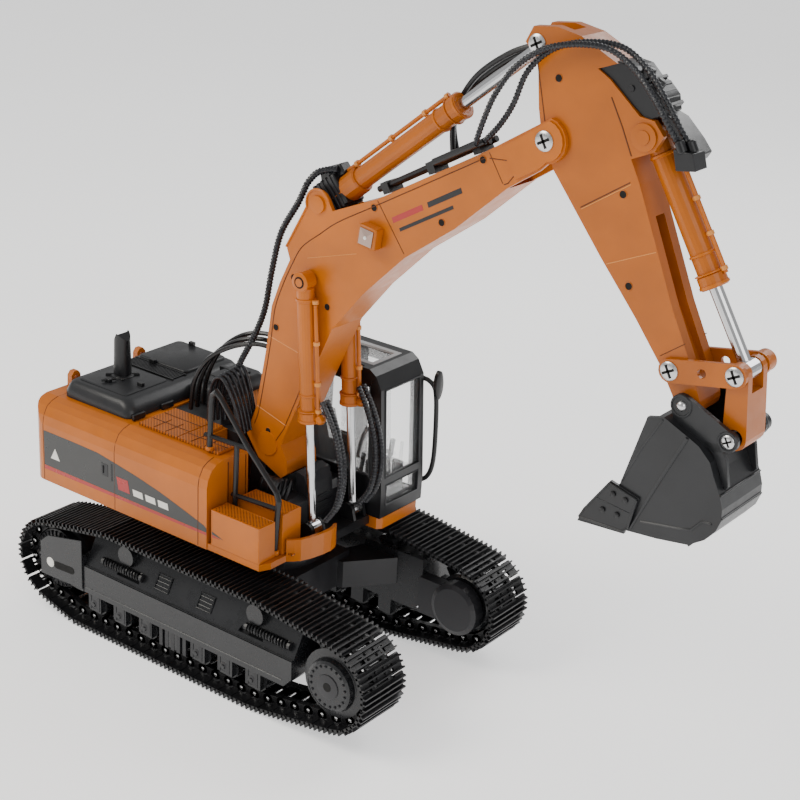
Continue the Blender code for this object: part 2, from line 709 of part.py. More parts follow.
def boom_pedestal(parent):
    """Upright block that carries the boom foot between its plates, and the motor case in front of it."""
    foot = DECK_Z + DECK_THICK + GAP
    outline = [(-12, foot), (5, foot), (6.5, 142), (8, 150)] + arc(BOOM_FOOT, 8.6, -50, 200, 12) + [(-6, 150)]
    half = BOOM_PLATE_IN - RUN - 0.2
    hole = cross_pin(BOOM_FOOT, 20, PIN_RADIUS + 1.4, 24)
    case = [(15, foot), (49.5, foot), (49.5, 131), (44, 134.5), (15, 134.5)]
    hood = [(38, 130), (49.5, 130), (48.5, 142), (45, 149), (38, 151)]
    joined = [prism_y(case, WELL_RIGHT_Y - 15, WELL_LEFT_Y + 11), prism_y(hood, -14, 14),
              box(0, 20, -half + 3, half - 3, foot, 130)]
    return piece("boom_pedestal", prism_y(outline, -half, half), ("black_plastic", DARK, 0.5, 0.0), parent,
                 joined=joined, cuts=[hole])


def cylinder_bracket(parent):
    """Base with four ears and pins for the feet of the boom cylinders."""
    x, z = BOOM_CYL_BASE
    floor = DECK_Z + DECK_THICK + GAP
    base = box(x - 11, x + 8.7, -32, 31.5, floor, floor + 1.6)
    joined = []
    ear = [(x - 8, floor + 0.5), (x + 8, floor + 0.5)] + arc((x, z), 6.0, 0, 180, 8)
    for side in (-1, 1):
        for y in (side * (BOOM_CYL_Y - 6.0), side * (BOOM_CYL_Y + 6.0)):
            joined.append(prism_y(ear, y - 1.3, y + 1.3))
        joined.append(cross_pin((x, z), 7.0, 2.6, 20, side * BOOM_CYL_Y))
    return piece("cylinder_bracket", base, ("black_plastic", DARK, 0.5, 0.0), parent, joined=joined)


def internals(parent):
    """Battery pack, main board and swing motor inside the covers."""
    floor = DECK_Z + DECK_THICK + GAP
    cells = box(-150, -92, -34, 34, floor, floor + 30)
    plug = box(-92.5, -88, -8, 8, floor + 8, floor + 18)
    piece("battery", cells, ("battery_wrap", BATTERY_BLUE, 0.45, 0.0), parent, joined=[plug])
    board = box(-76, -30, -72, -26, floor + 3, floor + 4.6)
    parts = [box(-70, -52, -66, -48, floor + 4, floor + 8), box(-46, -34, -60, -50, floor + 4, floor + 12),
             cylinder((-60, -36, floor + 4), (-60, -36, floor + 14), 4, 16)]
    parts += [cylinder((x, y, floor), (x, y, floor + 4), 2, 12) for x in (-73, -33) for y in (-69, -29)]
    piece("main_board", board, ("board_green", BOARD_GREEN, 0.4, 0.0), parent, joined=parts)
    motor = cylinder((-58, 0, floor), (-58, 0, floor + 38), 13, 24)
    gearbox = box(-72, -44, -15, 15, floor, floor + 12)
    piece("swing_motor", motor, ("motor_steel", STEEL, 0.35, 1.0), parent, joined=[gearbox])


def cab_outline(grow):
    """The (x, z) side view of the cab, grown inwards by a wall."""
    z0, z1 = CAB_FLOOR_Z + GAP + grow, CAB_ROOF_Z - grow
    front = CAB_FRONT_X - grow
    rear = CAB_REAR_X + grow
    return [(rear, z0), (front, z0), (front + 0.5, z0 + 20), (front - CAB_LEAN * 0.6, z1 - 14),
            (front - CAB_LEAN - 3, z1 - 4), (front - CAB_LEAN - 9, z1), (rear + 7, z1), (rear, z1 - 8)]


def cab(parent):
    """Cab floor, frame and its panes of glass."""
    y0, y1 = CAB_RIGHT_Y, CAB_LEFT_Y
    base = prism_z([(CAB_REAR_X, y0), (CAB_FRONT_X - 3, y0), (CAB_FRONT_X, y0 + 4), (CAB_FRONT_X, y1 - 6),
                    (CAB_FRONT_X - 5, y1), (CAB_REAR_X, y1)], CAB_BASE_Z, CAB_FLOOR_Z)
    piece("cab_base", base, ("house_orange", ORANGE, 0.4, 0.0), parent)
    wall = 4.0
    sill, head = 141.0, 212.0
    frame = prism_y(cab_outline(0), y0, y1)
    room = prism_y(cab_outline(wall), y0 + wall, y1 - wall)
    front_x = CAB_FRONT_X
    windows = [box(front_x - 16, front_x + 10, y0 + 5, y1 - 5, sill, head - 2),
               box(front_x - 16, front_x + 10, y0 + 6, y1 - 6, 119, 135),
               box(2, 62, y0 + 8, y1 - 8, CAB_ROOF_Z - 10, CAB_ROOF_Z + 10)]
    side = [(-12, sill), (68, sill), (66, head), (-10, head)]
    windows.append(prism_y(side, y0 - 5, y0 + 10))
    windows.append(prism_y([(26, 116), (70, 116), (67, head), (22, head)], y1 - 10, y1 + 5))
    windows.append(prism_y([(-12, sill), (16, sill), (13, head), (-10, head)], y1 - 10, y1 + 5))
    piece("cab_frame", frame, ("black_plastic", DARK, 0.5, 0.0), parent, cuts=[room, *windows])
    glass = ("cab_glass", GLASS, 0.08, 0.0)
    half = GLASS_THICK / 2
    lean = CAB_LEAN * 0.6 / (CAB_ROOF_Z - 14 - CAB_FLOOR_Z - 20)

    def front_at(z):
        return front_x - 2.2 - max(0.0, z - CAB_FLOOR_Z - 20) * lean
    pane = [(front_at(z) + s * half, z) for z, s in ((sill + GAP, -1), (sill + GAP, 1), (head - 2 - GAP, 1),
                                                    (head - 2 - GAP, -1))]
    piece("windscreen", prism_y(pane, y0 + 5 + GAP, y1 - 5 - GAP), glass, parent)
    pane = [(front_at(z) + s * half, z) for z, s in ((119 + GAP, -1), (119 + GAP, 1), (135 - GAP, 1),
                                                    (135 - GAP, -1))]
    piece("lower_screen", prism_y(pane, y0 + 6 + GAP, y1 - 6 - GAP), glass, parent)
    piece("roof_glass", box(2 + GAP, 62 - GAP, y0 + 8 + GAP, y1 - 8 - GAP, CAB_ROOF_Z - 3, CAB_ROOF_Z - 1.6),
          glass, parent)
    inner = [(-12 + GAP, sill + GAP), (68 - GAP, sill + GAP), (66 - GAP, head - GAP), (-10 + GAP, head - GAP)]
    piece("side_glass_right", prism_y(inner, y0 + 1.2, y0 + 1.2 + GLASS_THICK), glass, parent)


def cab_interior(parent):
    """Seat and the console with its two levers."""
    floor = CAB_FLOOR_Z + GAP + 4.0 + GAP
    cushion = box(8, 38, 45, 72, floor, floor + 16)
    back = extruded([[(6, 45, floor + 10), (14, 45, floor + 10), (14, 72, floor + 10), (6, 72, floor + 10)],
                     [(-2, 47, floor + 52), (4, 47, floor + 52), (4, 70, floor + 52), (-2, 70, floor + 52)]])
    piece("seat", cushion, ("seat_plastic", DARK, 0.6, 0.0), parent, joined=[back])
    console = box(44, 66, 41, 46, floor, floor + 24)
    parts = [box(44, 66, 73, 78, floor, floor + 24), box(60, 66, 41, 78, floor, floor + 10)]
    parts += [swept([(54, y, floor + 22), (56, y, floor + 32), (57, y, floor + 40)], 2.0,
                    8) for y in (43.5, 75.5)]
    piece("console", console, ("seat_plastic", DARK, 0.6, 0.0), parent, joined=parts)


def mirror_rail(parent):
    """Grab rail at the cab's front corner with the mirror at its top."""
    x, y = CAB_FRONT_X + 6, CAB_LEFT_Y + 6
    stand = CAB_LEFT_Y + 1.7 + GAP
    rail = swept([(CAB_FRONT_X - 6, stand, 122), (x - 3, y - 1, 120), (x, y, 126), (x, y, 196),
                  (x - 3, y - 1, 203), (CAB_FRONT_X - 10, stand, 201)], 1.7, 8)
    mirror = box(x - 2.5, x + 1.5, y - 4, y + 5, 190, 214)
    return piece("mirror_rail", rail, ("black_plastic", DARK, 0.5, 0.0), parent, joined=[mirror])


# ---------------------------------------------------------------- boom, arm and bucket

def boom_outline():
    return [(-9, 168), (3, 152), (25, 142), (31, 147), (30, 157), (24, 168), (46, 219), (69, 270), (95, 302),
            (128, 335), (167.5, 364), (206, 399), (228, 414)] \
        + arc(ARM_PIVOT, 14.5, -80, 80, 8) \
        + [(189, 419.5), (104, 370.5), (66, 354)] \
        + arc(ARM_CYL_BASE, 10, 30, 190, 7) \
        + [(26, 319), (29, 311), (20, 292), (13, 273), (9, 242), (0, 192)]


def boom(parent):
    """Welded box boom: two plates and the webs between them, forked at both ends."""
    outline = boom_outline()
    plates = prism_y(outline, -BOOM_PLATE_OUT, BOOM_PLATE_OUT)
    joined = []
    for side in (-1, 1):
        low, high = sorted((side * (BOOM_PLATE_OUT - 0.5), side * (BOOM_PLATE_OUT + 1.5)))
        tip = [(212, 406), (228, 415.5)] + arc(ARM_PIVOT, 13, -80, 80, 8) + [(200, 424)]
        joined.append(prism_y(tip, low, high))
    hollow = [(24, 200), (42, 226), (64, 272), (91, 305), (125, 339), (164, 368), (196, 396.5),
              (192, 416), (104, 366), (74, 351), (62, 338), (34, 309), (24, 290), (17, 270), (13, 240),
              (8, 206)]
    foot = [(-20, 130), (21, 130), (23.5, 145.5), (27.3, 148.5), (27, 156.5), (21.5, 168), (31.5, 190),
            (4, 197), (-20, 190)]
    fork = [(206, 380), (206, 440), (280, 470), (280, 380)]
    bracket = [(30, 372), (88, 372), (76, 352), (64, 336), (50, 330), (22, 330), (14, 345)]
    half = BOOM_PLATE_IN
    cuts = [prism_y(shape, -half, half) for shape in (hollow, foot, fork, bracket)]
    cuts.append(prism_y([(190, 398), (212, 398), (212, 428), (190, 412)], -half, half))
    obj = piece("boom", plates, ("boom_orange", ORANGE, 0.4, 0.0), parent, joined=joined, cuts=cuts)
    detach(obj)
    span = BOOM_PLATE_OUT - 0.5
    boolean(obj, "UNION", [cross_pin(BOOM_FOOT, span, PIN_RADIUS + 1, 20),
                           cross_pin(ARM_PIVOT, span, 4.0, 20),
                           cross_pin(ARM_CYL_BASE, span, PIN_RADIUS, 20),
                           cross_pin(BOOM_CYL_TOP, BOOM_CYL_Y + 7, PIN_RADIUS, 20)])
    finish(obj, parent)
    return obj


def work_lamp(parent):
    """Square lamp on the near side of the boom."""
    y = -(BOOM_PLATE_OUT + GAP)
    case = prism_y([(94, 339), (109, 337), (111, 352), (96, 354)], y - 9, y)
    lens = prism_y([(96.5, 341), (107, 339.5), (108.5, 350), (98, 351.5)], y - 10.5, y - 8)
    return piece("work_lamp", case, ("lamp_white", LAMP_WHITE, 0.3, 0.0), parent, joined=[lens])


def boom_pipe(parent):
    """Twin pipe along the top of the boom with its clips."""
    rise = 6.0
    start, end = (100, 368.5), (186, 417.9)
    lean = math.atan2(end[1] - start[1], end[0] - start[0])
    shift = (-math.sin(lean) * rise, math.cos(lean) * rise)
    ends = [(p[0] + shift[0], p[1] + shift[1]) for p in (start, end)]
    pipe = swept([(ends[0][0], -6, ends[0][1]), (ends[1][0], -6, ends[1][1])], 2.2, 10)
    joined = [swept([(ends[0][0], 2, ends[0][1]), (ends[1][0], 2, ends[1][1])], 2.2, 10)]
    for part in (0.08, 0.5, 0.9):
        x = ends[0][0] + (ends[1][0] - ends[0][0]) * part
        z = ends[0][1] + (ends[1][1] - ends[0][1]) * part
        along = (math.cos(lean) * 3, math.sin(lean) * 3)
        down = (-shift[0] / rise * 5.0, -shift[1] / rise * 5.0)
        up = (shift[0] / rise * 3.0, shift[1] / rise * 3.0)
        clip = [(x - along[0] + down[0], z - along[1] + down[1]),
                (x + along[0] + down[0], z + along[1] + down[1]),
                (x + along[0] + up[0], z + along[1] + up[1]), (x - along[0] + up[0], z - along[1] + up[1])]
        joined.append(prism_y(clip, -9.5, 5.5))
    return piece("boom_pipe", pipe, ("black_plastic", DARK, 0.5, 0.0), parent, joined=joined)


def barrel(name, base, end, y, length, radius, bore, eye_half, parent, extra=(), motor=0.0):
    """A cylinder tube from its base eye towards end, bored for the rod, with a collar at its mouth."""
    start = (base[0], y, base[1])
    axis = (end[0] - base[0], 0, end[1] - base[1])
    profile = [(4, radius - 1), (5, radius), (length - 9, radius), (length - 8, radius + 1.4),
               (length - 1, radius + 1.4), (length, radius + 0.6)]
    tube = turned(profile, start, axis, 20)
    joined = [cross_pin(base, eye_half, EYE_RADIUS, 20, y), *extra]
    if motor:
        joined.append(turned([(7, motor - 1), (8, motor), (31, motor), (32, motor - 1)], start, axis, 16))
    hollow = turned([(EYE_RADIUS + 5, bore), (length + 5, bore)], start, axis, 16)
    hole = cross_pin(base, eye_half + 3, PIN_HOLE, 16, y)
    return piece(name, tube, ("cylinder_tube", ARM_ORANGE, 0.35, 0.0), parent, joined=joined,
                 cuts=[hollow, hole])


def rod(name, pin, top, y, length, radius, eye_half, parent, pin_hole=PIN_HOLE):
    """A chromed rod from its eye towards the barrel."""
    start = (pin[0], y, pin[1])
    axis = (top[0] - pin[0], 0, top[1] - pin[1])
    bar = turned([(3, radius), (length - 1, radius), (length, radius - 1)], start, axis, 16)
    eye = cross_pin(pin, eye_half, EYE_RADIUS - 0.3, 20, y)
    hole = cross_pin(pin, eye_half + 3, pin_hole, 16, y)
    return piece(name, bar, ("cylinder_chrome", CHROME, 0.15, 1.0), parent, joined=[eye], cuts=[hole])


def arm_outline():
    return [(219, 480), (222, 452), (224.5, 440), (236, 416), (274, 370), (303, 337), (323, 312),
            (333, 296)] \
        + arc(BUCKET_PIVOT, 8.5, 190, 380, 8) \
        + [(346, 312), (327, 349), (296.5, 419), (289, 433), (304, 440), (309, 450), (302, 458), (292, 459),
           (270, 477), (261, 482), (274, 487), (248, 499), (230.5, 502), (214, 500), (209, 490)]


def arm(parent):
    """Box arm with ears for its cylinder, a bracket for the bucket cylinder and a slotted front."""
    body = prism_y(arm_outline(), -ARM_HALF, ARM_HALF)
    half = 6.6
    ears = prism_y([(200, 466), (236, 474), (240, 512), (200, 520)], -half, half)
    groove = prism_y([(292, 400), (314, 400), (335, 352), (350, 318), (342, 312), (322, 346)], -5, 5)
    mount = prism_y([(283, 437), (300, 432), (325, 430), (325, 470), (299, 466), (286, 456)], -9.0, 9.0)
    holes = [cross_pin(ARM_PIVOT, 30, 4.5, 24), cross_pin(ROCKER_PIVOT, 30, PIN_HOLE, 24),
             cross_pin(BUCKET_PIVOT, 30, PIN_HOLE, 24)]
    obj = piece("arm", body, ("arm_orange", ARM_ORANGE, 0.4, 0.0), parent, cuts=[ears, groove, mount, *holes])
    detach(obj)
    boolean(obj, "UNION", [cross_pin(ARM_CYL_END, ARM_HALF - 0.5, PIN_RADIUS, 20),
                           cross_pin(BUCKET_CYL_BASE, ARM_HALF - 0.5, PIN_RADIUS, 20)])
    finish(obj, parent)
    return obj


def rocker(parent):
    """Two plates and their pins, from the arm to the bucket cylinder's rod."""
    inner, outer = ARM_HALF + RUN, ARM_HALF + RUN + ROCKER_THICK
    outline = []
    lean = math.degrees(math.atan2(LINK_TOP[1] - ROCKER_PIVOT[1], LINK_TOP[0] - ROCKER_PIVOT[0]))
    outline += arc(ROCKER_PIVOT, 7.5, lean + 90, lean + 270, 8)
    outline += arc(LINK_TOP, 7.5, lean - 90, lean + 90, 8)
    middle = towards(ROCKER_PIVOT, LINK_TOP, math.dist(ROCKER_PIVOT, LINK_TOP) / 2)
    right = prism_y(outline, -outer, -inner)
    joined = [prism_y(outline, inner, outer), cross_pin(ROCKER_PIVOT, outer - 0.4, PIN_RADIUS, 20),
              cross_pin(LINK_TOP, outer - 0.4, PIN_RADIUS, 20)]
    return piece("rocker", right, ("arm_orange", ARM_ORANGE, 0.4, 0.0), parent, joined=joined,
                 cuts=[cross_pin(middle, 30, 3.0, 16)])


def bucket_link(parent):
    """Forked link: two eyes at the rod, one wide boss with a loose hole at the bucket."""
    outline = arc(LINK_TOP, 6.8, 0, 180, 8) + arc(LINK_BOTTOM, 8.0, 180, 360, 8)
    half = ARM_HALF - 0.9
    block = prism_y(outline, -half, half)
    fork = [(LINK_TOP[0] - 12, LINK_TOP[1] - 11), (LINK_TOP[0] + 12, LINK_TOP[1] - 11),
            (LINK_TOP[0] + 12, LINK_TOP[1] + 12), (LINK_TOP[0] - 12, LINK_TOP[1] + 12)]
    cuts = [prism_y(fork, -7.0, 7.0), cross_pin(LINK_TOP, 30, PIN_HOLE, 24),
            cross_pin(LINK_BOTTOM, 30, 5.5, 24)]
    return piece("bucket_link", block, ("arm_orange", ARM_ORANGE, 0.4, 0.0), parent, cuts=cuts)


def bucket_outline():
    heel = [(361.8, 209), (372.3, 216), (378.9, 224.2), (381.6, 231.6), (381.3, 239), (378.7, 247.2),
            (372.4, 259.8),
            (369.7, 266.4), (361.2, 274.4)]
    return [(318, 204), (340, 205.8), *heel, (353.2, 278.2), (336.1, 285.8), (325, 283), (311, 234),
            (289, 208),
            (286, 202)]


def bucket(parent):
    """Bucket shell with hanger ears, their pins and side cutters."""
    shell_body = prism_y(bucket_outline(), -BUCKET_HALF, BUCKET_HALF)
    inside = [(318, 207), (339.5, 208.8), (360.6, 212), (370, 218), (376, 225.6), (378.5, 232.4),
              (378.2, 238.6),
              (375.8, 246), (369.6, 258.4), (367.2, 264.4), (359.4, 271.6), (352, 275.2), (336, 282.4),
              (300, 300),
              (280, 260), (270, 206.5)]
    hollow = prism_y(inside, -BUCKET_HALF + BUCKET_WALL, BUCKET_HALF - BUCKET_WALL)
    inner = ARM_HALF + RUN + ROCKER_THICK + RUN
    outer = inner + 3.2
    ear = arc(BUCKET_PIVOT, 7.5, 60, 215, 8) + [(340, 282), (368, 271)] + arc(LINK_BOTTOM, 6.5, -60, 90, 8)
    joined = [prism_y(ear, inner, outer), prism_y(ear, -outer, -inner)]
    cutter = [(284, 200), (318, 202), (326, 229), (305, 234.5), (288, 210)]
    for side in (-1, 1):
        low, high = sorted((side * (BUCKET_HALF - 0.5), side * (BUCKET_HALF + 1.6)))
        joined.append(prism_y(cutter, low, high))
    obj = piece("bucket", shell_body, ("bucket_black", DARK, 0.45, 0.0), parent, joined=joined, cuts=[hollow])
    detach(obj)
    boolean(obj, "UNION", [cross_pin(BUCKET_PIVOT, outer - 0.4, PIN_RADIUS, 20),
                           cross_pin(LINK_BOTTOM, outer - 0.4, PIN_RADIUS - 0.3, 20)])
    finish(obj, parent)
    return obj


# ---------------------------------------------------------------- assembly

def build_undercarriage(root):
    chassis(root)
    slew_lower(root)
    for side in (-1, 1):
        word = "right" if side < 0 else "left"
        y = side * (TRACK_WIDTH - SHOE_WIDTH) / 2
        track_frame(side, root)
        track_loop(side, root)
        idler_yoke(side, root)
        final_drive(side, root)
        sprocket(side, axis_empty(f"sprocket_{word}_axis", SPROCKET_X, y, SPROCKET_Z, root))
        idler(side, axis_empty(f"idler_{word}_axis", IDLER_X, y, IDLER_Z, root))


def build_house(house):
    platform(house)
    slew_upper(house)
    counterweight(house)
    engine_bay(house)
    right_body(house)
    left_body(house)
    centre_cover(house)
    engine_cover(house)
    exhaust(house)
    tread_deck(house)
    step_box("step_low", 16, 62, -80.5, -64.0, 136, house)
    step_box("step_high", 20, 63.5, -57.8, -38.0, 139, house)
    handrail(house)
    boom_pedestal(house)
    cylinder_bracket(house)
    internals(house)
    cab(house)
    cab_interior(house)
    mirror_rail(house)


def build_front(house):
    foot = BOOM_CYL_BASE
    boom_axis = axis_empty("boom_axis", BOOM_FOOT[0], 0, BOOM_FOOT[1], house)
    rods = axis_empty("boom_rods_axis", foot[0], 0, foot[1], house)
    barrels = axis_empty("boom_barrels_axis", BOOM_CYL_TOP[0], 0, BOOM_CYL_TOP[1], boom_axis)
    arm_base = axis_empty("arm_barrel_axis", ARM_CYL_BASE[0], 0, ARM_CYL_BASE[1], boom_axis)
    arm_axis = axis_empty("arm_axis", ARM_PIVOT[0], 0, ARM_PIVOT[1], boom_axis)
    arm_end = axis_empty("arm_rod_axis", ARM_CYL_END[0], 0, ARM_CYL_END[1], arm_axis)
    bucket_base = axis_empty("bucket_barrel_axis", BUCKET_CYL_BASE[0], 0, BUCKET_CYL_BASE[1], arm_axis)
    rocker_axis = axis_empty("rocker_axis", ROCKER_PIVOT[0], 0, ROCKER_PIVOT[1], arm_axis)
    link_axis = axis_empty("link_axis", LINK_TOP[0], 0, LINK_TOP[1], rocker_axis)
    bucket_axis = axis_empty("bucket_axis", BUCKET_PIVOT[0], 0, BUCKET_PIVOT[1], arm_axis)
    boom(boom_axis)
    work_lamp(boom_axis)
    boom_pipe(boom_axis)
    for side, word in ((-1, "right"), (1, "left")):
        y = side * BOOM_CYL_Y
        barrel(f"boom_barrel_{word}", BOOM_CYL_TOP, foot, y, BOOM_BARREL_LENGTH, BOOM_BARREL_RADIUS,
               BOOM_BORE_RADIUS, 4.4, barrels)
        rod(f"boom_rod_{word}", foot, BOOM_CYL_TOP, y, BOOM_ROD_LENGTH, BOOM_ROD_RADIUS, 4.2, rods, 3.0)
    barrel("arm_barrel", ARM_CYL_BASE, ARM_CYL_END, 0, ARM_BARREL_LENGTH, ARM_BARREL_RADIUS,
           ARM_BORE_RADIUS, 11.0, arm_base, motor=9.6)
    rod("arm_rod", ARM_CYL_END, ARM_CYL_BASE, 0, ARM_ROD_LENGTH, ARM_ROD_RADIUS, 6.0, arm_end)
    arm(arm_axis)
    barrel("bucket_barrel", BUCKET_CYL_BASE, LINK_TOP, 0, BUCKET_BARREL_LENGTH, BUCKET_BARREL_RADIUS,
           BUCKET_BORE_RADIUS, 8.4, bucket_base)
    rod("bucket_rod", LINK_TOP, BUCKET_CYL_BASE, 0, BUCKET_ROD_LENGTH, BUCKET_ROD_RADIUS, 6.4, link_axis)
    rocker(rocker_axis)
    bucket_link(link_axis)
    bucket(bucket_axis)
    hose("hose_arm_loop", [(183, -24, 424), (189, -24, 440), (197, -24, 458), (211, -24, 477),
                           (231, -24, 491),
                           (254, -24, 497), (275, -24, 496), (293, -24, 486), (307, -22, 470),
                           (315, -20, 452)],
         2.6, boom_axis)
    for side, word in ((-1, "right"), (1, "left")):
        y = side * BOOM_CYL_Y
        hose(f"hose_cylinder_{word}", [(67.5, y, 217), (78, y, 200), (85, y, 180), (87, y, 160), (83, y, 140),
                                       (73.5, y, 125)], 2.6, rods)
    hose("hose_boom_back", [(-34, -10, 172.5), (-33, -10, 190), (-24, -10, 215), (-10, -9, 242),
                            (-1, -8, 265),
                            (5, -8, 295), (13, -8, 325), (28, -8, 350), (36, -8, 366)], 2.6, house)


def centre_on_origin(root):
    """Move the machine so that its box's bottom middle is the origin."""
    bpy.context.view_layer.update()
    graph = bpy.context.evaluated_depsgraph_get()
    low = [math.inf, math.inf, math.inf]
    high = [-math.inf, -math.inf, -math.inf]
    for obj in bpy.data.objects:
        if obj.type == "EMPTY" or obj.hide_render:
            continue
        mesh = obj.evaluated_get(graph).to_mesh()
        for vertex in mesh.vertices:
            point = obj.matrix_world @ vertex.co
            for i in range(3):
                low[i] = min(low[i], point[i])
                high[i] = max(high[i], point[i])
    root.location = Vector((-(low[0] + high[0]) / 2, -(low[1] + high[1]) / 2, -low[2]))
    bpy.context.view_layer.update()


def main():
    clear_scene()
    root = axis_empty("machine", 0, 0, 0)
    house = axis_empty("swing_axis", 0, 0, SLEW_Z, root)
    build_undercarriage(root)
    build_house(house)
    build_front(house)
    centre_on_origin(root)


main()
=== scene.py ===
"""Looks of the tracked toy excavator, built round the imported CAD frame.

Sizes are in millimetres from the swing axis.
"""

import json
import math

import bmesh
import bpy
from mathutils import Matrix, Vector


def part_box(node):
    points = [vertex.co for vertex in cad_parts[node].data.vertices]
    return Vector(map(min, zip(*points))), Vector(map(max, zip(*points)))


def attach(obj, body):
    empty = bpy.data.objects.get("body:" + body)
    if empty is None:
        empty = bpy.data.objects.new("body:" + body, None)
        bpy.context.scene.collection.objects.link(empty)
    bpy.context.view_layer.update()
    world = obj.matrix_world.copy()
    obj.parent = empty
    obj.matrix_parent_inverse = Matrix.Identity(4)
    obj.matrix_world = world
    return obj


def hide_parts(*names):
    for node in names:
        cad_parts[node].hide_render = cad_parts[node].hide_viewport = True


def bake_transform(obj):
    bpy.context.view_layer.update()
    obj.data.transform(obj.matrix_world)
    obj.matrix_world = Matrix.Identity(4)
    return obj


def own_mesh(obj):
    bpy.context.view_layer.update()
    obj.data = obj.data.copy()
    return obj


MM = 0.001
LINKS = 58                               # shoes in each belt
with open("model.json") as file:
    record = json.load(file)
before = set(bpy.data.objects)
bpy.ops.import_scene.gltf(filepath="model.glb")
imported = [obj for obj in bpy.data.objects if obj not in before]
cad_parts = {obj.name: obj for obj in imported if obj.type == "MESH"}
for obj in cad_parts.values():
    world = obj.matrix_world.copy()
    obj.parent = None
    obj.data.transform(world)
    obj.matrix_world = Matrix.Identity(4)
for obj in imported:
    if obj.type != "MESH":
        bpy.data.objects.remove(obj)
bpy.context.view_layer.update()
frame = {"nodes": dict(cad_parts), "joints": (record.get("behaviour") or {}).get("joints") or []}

_low, _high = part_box("slew_ring_lower")
AXIS_X = (_low.x + _high.x) / 2          # swing axis in the frame


def at(x, y, z):
    """A point given in millimetres from the swing axis, in the frame."""
    return Vector((AXIS_X + x * MM, y * MM, z * MM))


def pivot(joint):
    """A joint's (x, z) in millimetres from the swing axis."""
    for entry in frame["joints"]:
        if entry["name"] == joint:
            return ((entry["pos_m"][0] - AXIS_X) / MM, entry["pos_m"][2] / MM)
    return None


BOOM_FOOT = pivot("boom_lift")
ARM_PIVOT = pivot("arm_swing")
BUCKET_PIVOT = pivot("bucket_curl")
BOOM_CYL_BASE = pivot("boom_rod_tilt")
BOOM_CYL_TOP = pivot("boom_barrel_tilt")
ARM_CYL_BASE = pivot("arm_barrel_tilt")
ARM_CYL_END = pivot("arm_rod_tilt")
BUCKET_CYL_BASE = pivot("bucket_barrel_tilt")
ROCKER_PIVOT = pivot("rocker_turn")
LINK_TOP = pivot("link_turn")
SPROCKET = pivot("sprocket_right_spin")
IDLER = pivot("idler_right_spin")
LINK_BOTTOM = (376.5, 280.0)

# ------------------------------------------------------------------ materials


def shader_tree(name):
    mat = bpy.data.materials.new(name)
    mat.use_nodes = True
    return mat, mat.node_tree, mat.node_tree.nodes["Principled BSDF"]


def add(tree, kind, **values):
    node = tree.nodes.new(kind)
    for key, value in values.items():
        setattr(node, key, value)
    return node


def noise(tree, coords, scale, detail=3.0, roughness=0.55):
    node = add(tree, "ShaderNodeTexNoise")
    node.inputs["Scale"].default_value = scale
    node.inputs["Detail"].default_value = detail
    node.inputs["Roughness"].default_value = roughness
    tree.links.new(coords, node.inputs["Vector"])
    return node


def ramp(tree, source, stops):
    node = add(tree, "ShaderNodeValToRGB")
    elements = node.color_ramp.elements
    while len(elements) < len(stops):
        elements.new(0.5)
    for element, (place, colour) in zip(elements, stops):
        element.position = place
        element.color = (*colour, 1.0)
    tree.links.new(source, node.inputs["Fac"])
    return node


def level(tree, source, low, high, out_low, out_high):
    node = add(tree, "ShaderNodeMapRange")
    node.inputs["From Min"].default_value = low
    node.inputs["From Max"].default_value = high
    node.inputs["To Min"].default_value = out_low
    node.inputs["To Max"].default_value = out_high
    tree.links.new(source, node.inputs["Value"])
    return node


def shade(colour, factor):
    return tuple(min(1.0, c * factor) for c in colour)


def moulded(name, colour, rough, grain=0.25, coat=0.0, metallic=0.0, worn=1.12, spread=0.12):
    """Moulded plastic: faint mottling, a fine spark-eroded grain and uneven gloss."""
    mat, tree, shader = shader_tree(name)
    coords = add(tree, "ShaderNodeTexCoord").outputs["Object"]
    broad = noise(tree, coords, 22.0, 4.0)
    fine = noise(tree, coords, 2600.0, 2.0, 0.6)
    smear = noise(tree, coords, 90.0, 5.0, 0.65)
    tint = ramp(tree, broad.outputs["Fac"], ((0.32, shade(colour, 1 - spread)), (0.68, shade(colour, worn))))
    tree.links.new(tint.outputs["Color"], shader.inputs["Base Color"])
    gloss = level(tree, smear.outputs["Fac"], 0.3, 0.7, rough - 0.06, rough + 0.08)
    tree.links.new(gloss.outputs["Result"], shader.inputs["Roughness"])
    bump = add(tree, "ShaderNodeBump")
    bump.inputs["Strength"].default_value = grain
    bump.inputs["Distance"].default_value = 0.00012
    tree.links.new(fine.outputs["Fac"], bump.inputs["Height"])
    tree.links.new(bump.outputs["Normal"], shader.inputs["Normal"])
    shader.inputs["Metallic"].default_value = metallic
    shader.inputs["Coat Weight"].default_value = coat
    shader.inputs["Coat Roughness"].default_value = 0.2
    shader.inputs["Specular IOR Level"].default_value = 0.35
    return mat


